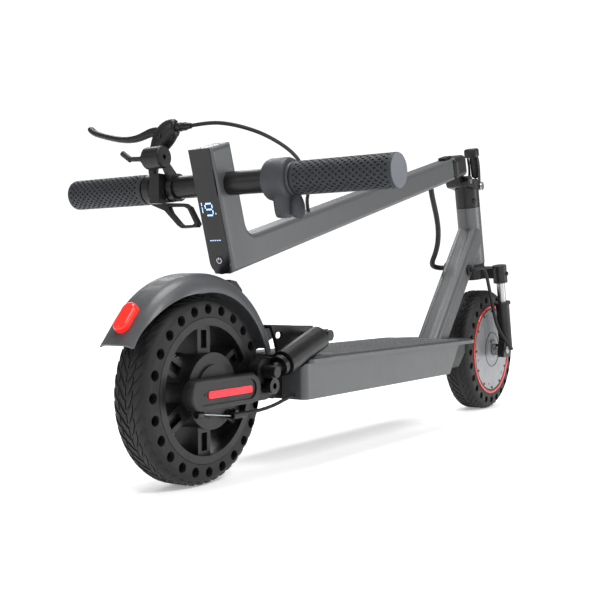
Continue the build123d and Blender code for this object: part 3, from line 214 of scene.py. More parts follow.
def lit(name, colour, strength):
    """Display segments: even light with the faint mottle of the diffuser over the lamps."""
    material, tree, shader, place = start(name)
    mottle = spread(tree, noise(tree, place, 900.0), 0.3, 0.7)
    shade = tint(tree, mottle, colour, [value * 0.75 for value in colour])
    tree.links.new(shade, shader.inputs["Base Color"])
    tree.links.new(shade, shader.inputs["Emission Color"])
    shader.inputs["Emission Strength"].default_value = strength
    return material


GREY_PAINT = metallic_paint("grey_paint", (0.072, 0.075, 0.078), (0.165, 0.17, 0.175))
GREY_SHELL = surface("grey_moulding", (0.05, 0.053, 0.057), (0.064, 0.067, 0.071), (0.36, 0.48), 0.1, 0.1)
BLACK_CAST = surface("black_casting", (0.006, 0.006, 0.0065), (0.012, 0.012, 0.013), (0.32, 0.48), 0.2, 0.06,
                     700.0, 0.3)
BLACK_PLASTIC = surface("black_moulding", (0.007, 0.007, 0.008), (0.012, 0.012, 0.0135), (0.4, 0.52),
                        0.0, 0.03, 1100.0, 0.35)
HOUSING = surface("control_moulding", (0.03, 0.032, 0.037), (0.042, 0.045, 0.051), (0.42, 0.55), 0.0, 0.0,
                  1100.0, 0.4)
GLASS_BLACK = surface("panel_gloss", (0.005, 0.005, 0.006), (0.009, 0.009, 0.011), (0.16, 0.24), 0.0, 0.05,
                      300.0, 0.02)
TYRE = rubber("tyre_rubber", (0.007, 0.007, 0.0075), (0.016, 0.016, 0.016))
GRIP = rubber("grip_rubber", (0.02, 0.022, 0.026), (0.033, 0.036, 0.041), 1300.0, 0.2)
CAP_GREY = rubber("grip_cap_rubber", (0.1, 0.108, 0.122), (0.13, 0.138, 0.15), 1300.0, 0.12)
MAT = rubber("deck_mat_rubber", (0.075, 0.077, 0.08), (0.13, 0.13, 0.133), 700.0, 0.6)
CABLE = rubber("cable_jacket", (0.009, 0.009, 0.01), (0.014, 0.014, 0.015), 1800.0, 0.12)
STEEL = brushed("bright_steel", (0.42, 0.42, 0.43), (0.26, 0.26, 0.27))
DARK_STEEL = brushed("dark_steel", (0.055, 0.055, 0.058), (0.03, 0.03, 0.032), (1, 40, 1), (0.3, 0.45))
SILVER = surface("silver_cover", (0.2, 0.205, 0.215), (0.26, 0.265, 0.275), (0.34, 0.45), 0.6, 0.05,
                 1700.0, 0.1)
# the tail light's and the reflector's facet tints and glow are painted light caught by their prisms
RED_LENS = lens("red_lens", (0.9, 0.03, 0.018), (0.7, 0.012, 0.008), 0.45, 500.0)
RED_STRIP = lens("red_reflector", (0.95, 0.004, 0.022), (0.8, 0.002, 0.014), 0.3, 900.0)
RED_RING = surface("red_ring", (0.55, 0.02, 0.014), (0.68, 0.03, 0.02), (0.3, 0.42), 0.2, 0.2)
LAMP = lens("lamp_lens", (0.5, 0.52, 0.54), (0.3, 0.31, 0.33), 0.0, 260.0)
BLUE_LIGHT = lit("display_light", (0.45, 0.68, 1.0), 1.1)
WHITE_LIGHT = lit("button_light", (0.75, 0.8, 0.85), 0.6)

NODE_FINISH = {
    GREY_PAINT: ["deck_body", "down_tube", "head_tube", "stem_tube"],
    GREY_SHELL: ["rear_fender"],
    BLACK_CAST: ["deck_bottom_cover", "deck_castings", "fender_bracket", "shock_covers", "kickstand",
                 "swingarms", "rear_rim", "fork_crown", "hinge_base", "fold_lever", "fork_lowers",
                 "motor_shell", "hinge_collar", "handlebar", "brake_perch", "bell_body", "brake_lever",
                 "brake_plate", "brake_shoes"],
    BLACK_PLASTIC: ["battery_and_controller", "fender_hook", "swingarm_covers", "paddle_clamp",
                    "bell_striker", "loop_paddle"],
    HOUSING: ["throttle_body", "throttle_paddle"],
    STEEL: ["fork_stanchions", "front_axle", "rear_axle", "headset_bearings", "rear_bearings", "motor_stator",
            "shock_springs", "fork_springs", "hinge_pins"],
    DARK_STEEL: ["suspension_bolts", "brake_arm", "shock_rods"],
    CABLE: ["cable_grommets", "charge_port_cap", "brake_cable", "cable_bundle", "motor_cable",
            "rear_brake_cable"],
    MAT: ["deck_grip_mat"],
    GRIP: ["grips"],
    TYRE: ["rear_tyre", "front_tyre"],
    SILVER: ["motor_covers"],
    RED_LENS: ["tail_light"],
    RED_STRIP: ["reflector_strips"],
    LAMP: ["headlight"],
    GLASS_BLACK: ["display_panel", "power_button"],
}
for material, names in NODE_FINISH.items():
    for name in names:
        NODES[name].data.materials.clear()
        NODES[name].data.materials.append(material)


# ---------------------------------------------------------------- making pieces
def piece(name, bm, material, body, smooth=radians(35)):
    """Turns a finished bmesh into a piece that rides on a body."""
    mesh = bpy.data.meshes.new(name)
    bmesh.ops.remove_doubles(bm, verts=bm.verts, dist=1e-6)
    bmesh.ops.recalc_face_normals(bm, faces=bm.faces)
    for face in bm.faces:
        face.smooth = True
    for edge in bm.edges:
        if len(edge.link_faces) == 2 and edge.calc_face_angle(0.0) > smooth:
            edge.smooth = False
    bm.to_mesh(mesh)
    bm.free()
    mesh.materials.append(material)
    made = bpy.data.objects.new(name, mesh)
    bpy.context.scene.collection.objects.link(made)
    if body:
        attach(made, body)
    return made


def placing(at, along, up=Vector((0, 0, 1))):
    """Matrix whose Z runs along a direction, with its Y as near up as it can be."""
    z_axis = Vector(along).normalized()
    x_axis = Vector(up).cross(z_axis)
    if x_axis.length < 1e-5:
        x_axis = Vector((1, 0, 0)).cross(z_axis)
    x_axis.normalize()
    y_axis = z_axis.cross(x_axis)
    turn = Matrix((x_axis, y_axis, z_axis)).transposed().to_4x4()
    return Matrix.Translation(Vector(at)) @ turn


def lathe(bm, outline, at, along, steps=64):
    """Closed ring or knob: an outline of (along, radius) pairs spun about an axis."""
    place = placing(at, along)
    corners = [bm.verts.new((radius, 0, reach)) for reach, radius in outline]
    edges = [bm.edges.new((a, b)) for a, b in zip(corners, corners[1:] + corners[:1])]
    bmesh.ops.spin(bm, geom=corners + edges, cent=(0, 0, 0), axis=(0, 0, 1), angle=2 * pi, steps=steps,
                   use_merge=True)
    whole = {vert for edge in edges for vert in edge.verts}
    whole |= {vert for vert in bm.verts if not vert.tag}
    for vert in whole:
        vert.co = place @ vert.co
        vert.tag = True


def socket_screw(bm, at, out, radius, height):
    """Screw head with a round socket, standing on a surface."""
    place = placing(at, out)
    head = bmesh.ops.create_circle(bm, cap_ends=True, segments=24, radius=radius, matrix=place)
    base = [face for face in bm.faces if all(vert in head["verts"] for vert in face.verts)]
    raised = bmesh.ops.extrude_face_region(bm, geom=base)
    top = [item for item in raised["geom"] if isinstance(item, bmesh.types.BMFace)]
    verts = [item for item in raised["geom"] if isinstance(item, bmesh.types.BMVert)]
    bmesh.ops.translate(bm, verts=verts, vec=Vector(out).normalized() * height)
    bmesh.ops.inset_region(bm, faces=top, thickness=radius * 0.16, depth=radius * 0.1)
    bmesh.ops.inset_region(bm, faces=top, thickness=radius * 0.3)
    bmesh.ops.inset_region(bm, faces=top, thickness=radius * 0.04, depth=-height * 0.55)
    for vert in bm.verts:
        vert.tag = True


def loft(bm, stations, across, sides=12):
    """Smooth limb through stations of (centre, half width, half height), closed at both ends."""
    rings = []
    centres = [Vector(station[0]) for station in stations]
    for index, (centre, half_wide, half_high) in enumerate(stations):
        before = centres[max(index - 1, 0)]
        after = centres[min(index + 1, len(centres) - 1)]
        size = Matrix.Diagonal((half_high, half_wide, 1, 1))
        place = placing(centre, after - before, Vector(across)) @ size
        made = bmesh.ops.create_circle(bm, cap_ends=False, segments=sides, radius=1, matrix=place)
        ring = set(made["verts"])
        rings.append([edge for edge in bm.edges if edge.verts[0] in ring and edge.verts[1] in ring])
    for first, second in zip(rings, rings[1:]):
        bmesh.ops.bridge_loops(bm, edges=first + second)
    bmesh.ops.edgeloop_fill(bm, edges=rings[0])
    bmesh.ops.edgeloop_fill(bm, edges=rings[-1])
    for vert in bm.verts:
        vert.tag = True


def rounded(made, levels=2):
    subdivision = made.modifiers.new("round", "SUBSURF")
    subdivision.levels = levels
    subdivision.render_levels = levels
    return made


def bevelled(made, width, segments=2):
    bevel = made.modifiers.new("edges", "BEVEL")
    bevel.width = width
    bevel.segments = segments
    bevel.limit_method = "ANGLE"
    bevel.angle_limit = radians(40)
    return made


def block(bm, low, high, place=Matrix.Identity(4)):
    """Box between two corners, in its own frame."""
    low, high = Vector(low), Vector(high)
    size = high - low
    matrix = place @ Matrix.Translation((low + high) / 2) @ Matrix.Diagonal((*size, 1))
    bmesh.ops.create_cube(bm, size=1, matrix=matrix)
    for vert in bm.verts:
        vert.tag = True


# ---------------------------------------------------------------- wheels
TYRE_HALF_WIDTH = 0.025
SHOULDER_RADIUS = 0.014
TREAD_DEPTH = 0.0012
TREAD_BLOCKS = 46
# inner edge, outer edge, slant and width of each row of blocks
TREAD_ROWS = [(0.0008, 0.0088, 0.9, 0.62), (0.0104, 0.0205, 1.0, 0.66)]
FLANGE_FACE = 0.0252
MOTOR_SCREWS = 12
MOTOR_SCREW_CIRCLE = 0.0695
MOTOR_COVER_FACE = 0.0255


def tyre_surface(y):
    """Tyre's radius at a distance from its middle."""
    flat = TYRE_HALF_WIDTH - SHOULDER_RADIUS
    over = min(max(abs(y) - flat, 0) / SHOULDER_RADIUS, 1)
    return WHEEL_RADIUS - SHOULDER_RADIUS * (1 - sqrt(1 - over * over))


def tread_block(bm, side, inner, outer, lead, width):
    """One slanted block of the tread, curved over the tyre's crown."""
    made = bmesh.ops.create_grid(bm, x_segments=2, y_segments=7, size=1)
    pitch = 2 * pi / TREAD_BLOCKS
    for vert in made["verts"]:
        reach = (vert.co.y + 1) / 2
        y = inner + reach * (outer - inner)
        turn = pitch * (lead * reach ** 1.5 + vert.co.x * width / 2 * (1 - 0.25 * reach))
        radius = tyre_surface(y) - 0.0001
        vert.co = Vector((radius * sin(turn), side * y, radius * cos(turn)))
    return made["verts"]


def tyre(node_name, hub, body):
    """Tyre with its crown cut down by the tread's depth, and the tread blocks standing on it."""
    bm = bmesh.new()
    bm.from_mesh(NODES[node_name].data)
    bmesh.ops.remove_doubles(bm, verts=bm.verts, dist=1e-5)
    bmesh.ops.translate(bm, verts=bm.verts, vec=-hub)
    for vert in bm.verts:
        radius = sqrt(vert.co.x ** 2 + vert.co.z ** 2)
        crown = min(max((radius - WHEEL_RADIUS + SHOULDER_RADIUS) / (SHOULDER_RADIUS * 0.7), 0), 1)
        shrink = 1 - TREAD_DEPTH * crown / max(radius, 0.01)
        vert.co.x *= shrink
        vert.co.z *= shrink
    bmesh.ops.translate(bm, verts=bm.verts, vec=hub)
    carcass = piece(node_name + "_carcass", bm, TYRE, body)
    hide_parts(node_name)

    bm = bmesh.new()
    for inner, outer, lead, width in TREAD_ROWS:
        for side in (1, -1):
            tread_block(bm, side, inner, outer, lead, width)
    bmesh.ops.recalc_face_normals(bm, faces=bm.faces)
    for face in bm.faces:
        if face.normal.dot(face.calc_center_median()) < 0:
            face.normal_flip()
    bmesh.ops.solidify(bm, geom=bm.faces[:], thickness=TREAD_DEPTH * 1.5)
    bmesh.ops.spin(bm, geom=bm.verts[:] + bm.edges[:] + bm.faces[:], cent=(0, 0, 0), axis=(0, 1, 0),
                   angle=2 * pi * (TREAD_BLOCKS - 1) / TREAD_BLOCKS, steps=TREAD_BLOCKS - 1,
                   use_duplicate=True)
    bmesh.ops.translate(bm, verts=bm.verts, vec=hub)
    piece(node_name + "_tread", bm, TYRE, body)


def side_name(side):
    return "left" if side > 0 else "right"


def front_rim_rings():
    """Red ring on each flange of the front rim."""
    for side in (-1, 1):
        bm = bmesh.new()
        outline = [(0, 0.0763), (0.0009, 0.0768), (0.0011, 0.0785), (0.0009, 0.0797), (0, 0.08)]
        lathe(bm, outline, FRONT_HUB + ACROSS * (FLANGE_FACE * side), ACROSS * side, 128)
        piece("front_rim_ring_" + side_name(side), bm, RED_RING, "front_wheel")


def motor_cover_screws():
    """Ring of screws and the raised boss ring on each side of the motor."""
    for side in (-1, 1):
        bm = bmesh.new()
        for index in range(MOTOR_SCREWS):
            turn = 2 * pi * index / MOTOR_SCREWS
            radius = MOTOR_SCREW_CIRCLE
            at = FRONT_HUB + Vector((radius * cos(turn), side * MOTOR_COVER_FACE, radius * sin(turn)))
            socket_screw(bm, at, ACROSS * side, 0.0021, 0.0008)
        lathe(bm, [(0, 0.030), (0.0009, 0.0303), (0.0009, 0.0315), (0, 0.0318)],
              FRONT_HUB + ACROSS * side * 0.0259, ACROSS * side, 96)
        piece("motor_cover_screws_" + side_name(side), bm, DARK_STEEL, "front_wheel")


def drum_cooling_ribs():
    """Ribs round the rear hub between the drum and the spokes, on the left."""
    bm = bmesh.new()
    for reach in (0.0, 0.004, 0.008):
        lathe(bm, [(0, 0.0415), (0, 0.0442), (0.0014, 0.0442), (0.0014, 0.0415)],
              REAR_HUB + ACROSS * (0.008 + reach), ACROSS, 72)
    piece("drum_ribs", bm, BLACK_CAST, "rear_wheel")


# ---------------------------------------------------------------- handlebar
GRIP_CELLS_AROUND = 36
GRIP_PITCH = 0.0042
GRIP_STARTS = {-1: 0.1096, 1: 0.1112}
PIT_RIM = 0.0006
PIT_WALL = 0.0005
PIT_DEPTH = 0.0013
GRIP_CAP_DEPTH = 0.0012
BAR_BORE = 0.0142
PADDLE_BORE = 0.0143


def grip_sleeve(name, side):
    """Rubber grip: staggered pits between diamonds, a plain collar inside and a flat cap outside."""
    low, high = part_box("grips")
    outer = high[1]
    start = GRIP_STARTS[side]
    radius = (high[2] - low[2]) / 2 - 0.0002
    bm = bmesh.new()
    rows = int((outer - start - 0.011) / GRIP_PITCH)
    made = bmesh.ops.create_grid(bm, x_segments=GRIP_CELLS_AROUND, y_segments=rows, size=1)
    reach_low = start + 0.006
    reach_high = outer - 0.005
    for vert in made["verts"]:
        turn = pi * vert.co.x
        y = reach_low + (vert.co.y + 1) / 2 * (reach_high - reach_low)
        vert.co = Vector((radius * sin(turn), side * y, radius * cos(turn)))
    bmesh.ops.remove_doubles(bm, verts=bm.verts, dist=1e-6)
    bmesh.ops.recalc_face_normals(bm, faces=bm.faces)
    pits = []
    for face in bm.faces:
        centre = face.calc_center_median()
        column = int((atan2(centre.x, centre.z) + pi) / (2 * pi) * GRIP_CELLS_AROUND + 0.001)
        row = int((abs(centre.y) - reach_low) / (reach_high - reach_low) * rows + 0.001)
        outward = Vector((centre.x, 0, centre.z))
        if face.normal.dot(outward) < 0:
            face.normal_flip()
        if (column + row) % 2:
            pits.append(face)
    bmesh.ops.inset_individual(bm, faces=pits, thickness=PIT_RIM, depth=0)
    bmesh.ops.inset_individual(bm, faces=pits, thickness=PIT_WALL, depth=-PIT_DEPTH)
    borders = [edge for edge in bm.edges if len(edge.link_faces) == 1]
    inner_edge = [edge for edge in borders if abs(edge.verts[0].co.y) < start + 0.02]
    outer_edge = [edge for edge in borders if abs(edge.verts[0].co.y) > start + 0.02]
    collar = [(-0.0015, 1.0), (-0.0045, 0.985), (-0.0055, 0.95), (0.0, 0.74)]
    cap = [(0.0006, 1.0), (0.003, 1.0), (0.0042, 0.975), (0.0048, 0.93), (0.0048, 0.5)]
    for edges, steps in ((inner_edge, collar), (outer_edge, cap)):
        first = {vert: vert.co.copy() for edge in edges for vert in edge.verts}
        ring = edges
        origin = list(first.values())[0].y
        for reach, share in steps:
            grown = bmesh.ops.extrude_edge_only(bm, edges=ring)["geom"]
            verts = [item for item in grown if isinstance(item, bmesh.types.BMVert)]
            ring = [item for item in grown if isinstance(item, bmesh.types.BMEdge)]
            for vert in verts:
                turn = atan2(vert.co.x, vert.co.z)
                vert.co = Vector((radius * share * sin(turn), origin + side * reach,
                                  radius * share * cos(turn)))
        if edges is outer_edge:
            bmesh.ops.edgeloop_fill(bm, edges=ring)
            for face in bm.faces:
                if side * face.calc_center_median().y > outer - GRIP_CAP_DEPTH:
                    face.material_index = 1
    bmesh.ops.translate(bm, verts=bm.verts, vec=Vector((BAR.x, 0, BAR.z)))
    made = piece(name, bm, GRIP, "stem")
    made.data.materials.append(CAP_GREY)
    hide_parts("grips")


def thumb_throttle():
    """Throttle housing clamped round the bar, swelling into the lobe over its sensor, and its paddle."""
    bm = bmesh.new()
    wrap = [(0, BAR_BORE), (0, 0.0205), (0.0016, 0.0232), (0.0045, 0.0244), (0.026, 0.0244), (0.0296, 0.0232),
            (0.0316, 0.0205), (0.0318, BAR_BORE)]
    lathe(bm, wrap, Vector((BAR.x, -0.1048, BAR.z)), ACROSS, 72)
    piece("throttle_wrap", bm, HOUSING, "stem")
    bm = bmesh.new()
    centre = Vector((BAR.x, -0.092, BAR.z))
    stations = [(centre + Vector((0, 0, -0.012)), 0.0125, 0.016),
                (centre + Vector((0, 0, -0.024)), 0.0122, 0.0135),
                (centre + Vector((0, -0.0005, -0.034)), 0.0116, 0.0118),
                (centre + Vector((0, -0.001, -0.041)), 0.0108, 0.0105),
                (centre + Vector((0, -0.001, -0.0445)), 0.0085, 0.0078)]
    loft(bm, stations, ACROSS, 16)
    lobe = rounded(piece("throttle_lobe", bm, HOUSING, "stem"), 2)
    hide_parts("throttle_body")
    bm = bmesh.new()
    ring = [(0, PADDLE_BORE), (0, 0.0186), (0.0006, 0.019), (0.0034, 0.019), (0.0038, 0.0186),
            (0.0038, PADDLE_BORE)]
    lathe(bm, ring, Vector((BAR.x, -0.1092, BAR.z)), ACROSS, 72)
    piece("paddle_ring", bm, HOUSING, "throttle")
    bm = bmesh.new()
    hang = Vector((BAR.x, -0.1072, BAR.z))
    paddle = [(hang + Vector((0, 0, -0.0165)), 0.0085, 0.0017),
              (hang + Vector((0, -0.0002, -0.022)), 0.0088, 0.0018),
              (hang + Vector((0, -0.0032, -0.0285)), 0.0095, 0.0045),
              (hang + Vector((0, -0.0046, -0.036)), 0.0098, 0.0054),
              (hang + Vector((0, -0.0038, -0.0425)), 0.0088, 0.0044),
              (hang + Vector((0, -0.003, -0.0452)), 0.006, 0.0028)]
    loft(bm, paddle, ACROSS, 16)
    blade = rounded(piece("throttle_thumb_pad", bm, HOUSING, "throttle"), 2)
    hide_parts("throttle_paddle")


def brake_blade():
    """Curved two-finger brake blade with a rolled tip."""
    x = LEVER_PIVOT.x
    course = [(0.078, 0.408, 0.0055, 0.0064), (0.092, 0.417, 0.0036, 0.0072),
              (0.108, 0.4185, 0.004, 0.0062), (0.124, 0.4125, 0.0052, 0.0052),
              (0.145, 0.4108, 0.006, 0.0045), (0.168, 0.4145, 0.0062, 0.0042),
              (0.19, 0.4205, 0.006, 0.004), (0.204, 0.4245, 0.0058, 0.0042), (0.2115, 0.4295, 0.006, 0.0045),
              (0.2145, 0.4335, 0.0052, 0.0038)]
    bm = bmesh.new()
    loft(bm, [(Vector((x, y, z)), wide, high) for y, z, wide, high in course], Vector((1, 0, 0)), 12)
    blade = rounded(piece("brake_blade", bm, BLACK_CAST, "hand_lever"), 2)
    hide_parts("brake_lever")


def lever_perch():
    """Perch in one flowing casting: bar clamp, neck, the hood over the lever's root, and the adjuster."""
    x = LEVER_PIVOT.x
    bm = bmesh.new()
    clamp = [(0, BAR_BORE), (0, 0.0176), (0.0012, 0.0185), (0.0112, 0.0185), (0.0124, 0.0176),
             (0.0124, BAR_BORE)]
    lathe(bm, clamp, Vector((BAR.x, 0.0982, BAR.z)), ACROSS, 64)
    piece("perch_clamp", bm, BLACK_CAST, "stem")
    bm = bmesh.new()
    course = [(0.1045, 0.362, 0.0062, 0.0075), (0.1042, 0.374, 0.0062, 0.0062),
              (0.1015, 0.386, 0.0072, 0.0078), (0.0955, 0.398, 0.0088, 0.0135),
              (0.0875, 0.4085, 0.0094, 0.0168), (0.0785, 0.4165, 0.0094, 0.0162),
              (0.0705, 0.4198, 0.0088, 0.0128), (0.0645, 0.4198, 0.008, 0.0104)]
    loft(bm, [(Vector((x, y, z)), wide, high) for y, z, wide, high in course], Vector((1, 0, 0)), 16)
    hood = rounded(piece("perch_hood", bm, BLACK_CAST, "stem"), 2)
    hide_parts("brake_perch")
    bm = bmesh.new()
    adjuster = [(0, 0.0001), (0, 0.0048), (0.001, 0.0056), (0.0062, 0.0056), (0.007, 0.0048),
                (0.0075, 0.0042), (0.0085, 0.0052), (0.0135, 0.0052), (0.0145, 0.0044),
                (0.021, 0.0036), (0.0222, 0.0028), (0.0222, 0.0001)]
    lathe(bm, adjuster, Vector((x, 0.0645, 0.42)), -ACROSS, 32)
    piece("cable_adjuster", bm, BLACK_CAST, "stem")


def bolts_and_screws():
    """Socket screws that hold the castings together."""
    bm = bmesh.new()
    right = -ACROSS
    for forward, up in ((-0.012, 0.276), (-0.012, 0.298)):
        socket_screw(bm, steer(forward, up, -0.0165), right, 0.0034, 0.003)
    piece("hinge_clamp_screws", bm, DARK_STEEL, "steerer")
    bm = bmesh.new()
    socket_screw(bm, steer(0.004, 0.14, -0.0602), right, 0.0036, 0.0024)
    socket_screw(bm, steer(0.004, 0.14, 0.0602), ACROSS, 0.0036, 0.0024)
    piece("crown_clamp_screws", bm, DARK_STEEL, "steerer")
    bm = bmesh.new()
    for x in (-0.038, 0.037):
        for side in (-1, 1):
            at = Vector((REAR_HUB.x + x, side * 0.0505, REAR_HUB.z))
            socket_screw(bm, at, ACROSS * side, 0.0019, 0.0009)
    piece("cover_screws", bm, DARK_STEEL, "swingarm")
    bm = bmesh.new()
    socket_screw(bm, Vector((LEVER_PIVOT.x - 0.0086, 0.086, 0.4105)), Vector((-1, 0, 0)), 0.0028, 0.0018)
    socket_screw(bm, Vector((LEVER_PIVOT.x - 0.0058, 0.1042, 0.374)), Vector((-1, 0, 0)), 0.003, 0.0022)
    piece("perch_screws", bm, DARK_STEEL, "stem")


# ---------------------------------------------------------------- fold hinge
STEM_END = 0.648


def fold_clamp_lever():
    """Slender curved clamp lever with a broad cap, and the bright barrel it turns on."""
    foot = (0.034, 0.296)
    bm = bmesh.new()
    for side in (-1, 1):
        y = side * 0.0095
        course = [(-0.0065, -0.006, 0.0016, 0.0055), (0.0, 0.0, 0.0017, 0.0082),
                  (0.004, 0.014, 0.0016, 0.0055), (0.0068, 0.028, 0.0015, 0.004),
                  (0.0068, 0.041, 0.0015, 0.0042), (0.003, 0.054, 0.0016, 0.0048)]
        stations = [(steer(foot[0] + f, foot[1] + u, y), wide, high) for f, u, wide, high in course]
        loft(bm, stations, ACROSS, 12)
    cheeks = rounded(piece("fold_lever_cheeks", bm, BLACK_CAST, "clamp_lever"), 1)
    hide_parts("fold_lever")
    bm = bmesh.new()
    spine = [(0.0095, 0.012, 0.0088, 0.0009), (0.0108, 0.03, 0.0088, 0.0009), (0.0092, 0.043, 0.0088, 0.001),
             (0.0055, 0.055, 0.0088, 0.0012)]
    loft(bm, [(steer(foot[0] + f, foot[1] + u), wide, high) for f, u, wide, high in spine], ACROSS, 12)
    rounded(piece("fold_lever_spine", bm, BLACK_CAST, "clamp_lever"), 1)
    bm = bmesh.new()
    cap = Matrix((STEER_FORWARD, ACROSS, STEER_UP)).transposed().to_4x4()
    at = Matrix.Translation(steer(foot[0], foot[1] + 0.052))
    block(bm, (-0.0075, -0.012, 0), (0.0095, 0.012, 0.0165), at @ cap)
    bevelled(piece("fold_lever_cap", bm, BLACK_CAST, "clamp_lever"), 0.004, 4)
    bm = bmesh.new()
    for side in (-1, 1):
        at = steer(*foot) + ACROSS * side * 0.0115
        barrel = [(0, 0.0001), (0, 0.0072), (0.0012, 0.0078), (0.0038, 0.0078), (0.005, 0.0068),
                  (0.005, 0.0001)]
        lathe(bm, barrel, at, ACROSS * side, 40)
    piece("fold_lever_barrel", bm, STEEL, "steerer")


def hinge_head():
    """Rounded collar round the stem's end, with its knuckle below and the catch on top."""
    along = Matrix((STEM_ALONG, ACROSS, STEM_UP)).transposed().to_4x4()
    place = Matrix.Translation(STEM_START) @ along
    reach = (FOLD - STEM_START).dot(STEM_ALONG)
    knuckle_up = (FOLD - STEM_START).dot(STEM_UP)
    bm = bmesh.new()
    block(bm, (STEM_END + 0.0002, -0.0198, 0.0006), (reach - 0.0006, 0.0198, 0.0375), place)
    ring = bevelled(piece("hinge_head_ring", bm, BLACK_CAST, "stem"), 0.0085, 5)
    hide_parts("hinge_collar")
    bm = bmesh.new()
    lathe(bm, [(0, 0.0041), (0, 0.0092), (0.0008, 0.01), (0.0192, 0.01), (0.02, 0.0092), (0.02, 0.0041)],
          FOLD - ACROSS * 0.01, ACROSS, 48)
    block(bm, (reach - 0.0215, -0.0098, knuckle_up), (reach - 0.0008, 0.0098, 0.006), place)
    bevelled(piece("hinge_head_knuckle", bm, BLACK_CAST, "stem"), 0.0012, 2)
    bm = bmesh.new()
    block(bm, (STEM_END - 0.012, -0.0075, 0.0362), (STEM_END + 0.012, 0.0075, 0.041), place)
    bevelled(piece("hinge_head_catch", bm, BLACK_CAST, "stem"), 0.0016, 3)


# ---------------------------------------------------------------- stem head
GLASS_LIFT = 0.00005
BUTTON_LIFT = 0.00042
FILM = 0.00012
BATTERY_DOTS = 5
BATTERY_PITCH = 0.0034
BATTERY_DOT = (0.0019, 0.0012)


def panel_plane(up, side, lift=0.0):
    """Matrix on the display: X to the viewer's right, Y up the head, Z out of the glass."""
    at = STEM_START + ARM_UP * up + ACROSS * side - ARM_FORWARD * lift
    axes = Matrix((-ACROSS, ARM_UP, -ARM_FORWARD)).transposed().to_4x4()
    return Matrix.Translation(at) @ axes


def display_marks():
    """Lit figure, unit bars and battery dots of the display, and the power ring on the button."""
    bm = bmesh.new()
    thick = 0.0013
    wide = 0.0068
    tall = 0.007
    digit = panel_plane(0.079, 0.0005, GLASS_LIFT)
    strokes = [(-wide, tall * 2, wide, tall * 2), (-wide, tall, -wide, tall * 2),
               (wide, tall, wide, tall * 2), (-wide, tall, wide, tall),
               (wide, 0, wide, tall), (-wide, 0, wide, 0)]
    for x0, y0, x1, y1 in strokes:
        if y0 == y1:
            low, high = (x0 + thick, y0 - thick * 0.7), (x1 - thick, y0 + thick * 0.7)
        else:
            low, high = (x0 - thick * 0.7, y0 + thick), (x0 + thick * 0.7, y1 - thick)
        block(bm, (low[0] * 0.75, low[1] - tall, 0), (high[0] * 0.75, high[1] - tall, FILM), digit)
    for x, y, length in ((0.0084, -0.0062, 0.0018), (-0.0104, -0.004, 0.007), (-0.0104, 0.0046, 0.004)):
        block(bm, (x, y, 0), (x + 0.001, y + length, FILM), digit)
    dots = panel_plane(0.041, 0.0, GLASS_LIFT)
    for index in range(BATTERY_DOTS):
        x = -0.0077 + index * BATTERY_PITCH
        block(bm, (x, 0, 0), (x + BATTERY_DOT[0], BATTERY_DOT[1], FILM), dots)
    piece("display_figures", bm, BLUE_LIGHT, "stem")
    bm = bmesh.new()
    gap = radians(35)
    ring = panel_plane(BUTTON_UP, 0.0, BUTTON_LIFT)
    start_verts = []
    for radius in (0.0030, 0.0036):
        start_verts.append(bm.verts.new((radius * sin(gap), radius * cos(gap), 0)))
    edge = bm.edges.new(start_verts)
    bmesh.ops.spin(bm, geom=start_verts + [edge], cent=(0, 0, 0), axis=(0, 0, -1),
                   angle=2 * pi - 2 * gap, steps=28)
    bmesh.ops.solidify(bm, geom=bm.faces[:], thickness=0.0001)
    for vert in bm.verts:
        vert.co = ring @ vert.co
    block(bm, (-0.0003, 0.0006, 0), (0.0003, 0.0036, 0.0001), ring)
    piece("power_mark", bm, WHITE_LIGHT, "button")


# ---------------------------------------------------------------- deck
STUD_PITCH = 0.0092
STUD_ROW_SHARE = 0.87
STUD_FOOT = 0.0034
STUD_TOP = 0.0024
STUD_HEIGHT = 0.0008
MAT_MARGIN = 0.006
# how far forward the shocks stand over the mat, and from what distance off the middle
TAIL_NOTCH = (0.065, 0.036)


def deck_studs():
    """Low six-sided studs over the mat, in staggered rows."""
    low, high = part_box("deck_grip_mat")
    bm = bmesh.new()
    rows = int((high[1] - low[1] - 2 * MAT_MARGIN) / (STUD_PITCH * STUD_ROW_SHARE))
    columns = int((high[0] - low[0] - 0.016) / STUD_PITCH)
    for row in range(rows + 1):
        y = low[1] + MAT_MARGIN + row * STUD_PITCH * STUD_ROW_SHARE
        for column in range(columns):
            x = low[0] + 0.012 + column * STUD_PITCH + (STUD_PITCH / 2 if row % 2 else 0)
            if x > high[0] - 0.008 or (x < low[0] + TAIL_NOTCH[0] and abs(y) > TAIL_NOTCH[1]):
                continue
            bmesh.ops.create_cone(bm, cap_ends=True, segments=6, radius1=STUD_FOOT, radius2=STUD_TOP,
                                  depth=STUD_HEIGHT, matrix=Matrix.Translation((x, y, high[2] + 0.0003)))
    piece("deck_studs", bm, MAT, "frame")


# ---------------------------------------------------------------- cables
BRAKE_ROUTE = [(0.053, 0.0417, 0.42), (0.054, 0.022, 0.421), (0.059, 0.002, 0.4205), (0.072, -0.017, 0.4163),
               (0.095, -0.032, 0.4095), (0.125, -0.0377, 0.4006), (0.15, -0.0385, 0.3923),
               (0.176, -0.0338, 0.383), (0.206, -0.021, 0.367)]
BUNDLE_ROUTE = [(0.648, 0.008, 0.362), (0.667, 0.012, 0.342), (0.682, 0.016, 0.32), (0.688, 0.02, 0.298),
                (0.69, 0.026, 0.28), (0.694, 0.034, 0.267), (0.706, 0.039, 0.259)]
MOTOR_ROUTE = [(0.743, -0.041, 0.258), (0.759, -0.041, 0.24), (0.772, -0.04, 0.218), (0.783, -0.041, 0.194),
               (0.79, -0.042, 0.17), (0.794, -0.047, 0.148), (0.8, -0.056, 0.13), (0.808, -0.064, 0.116),
               (0.817, -0.064, 0.11)]
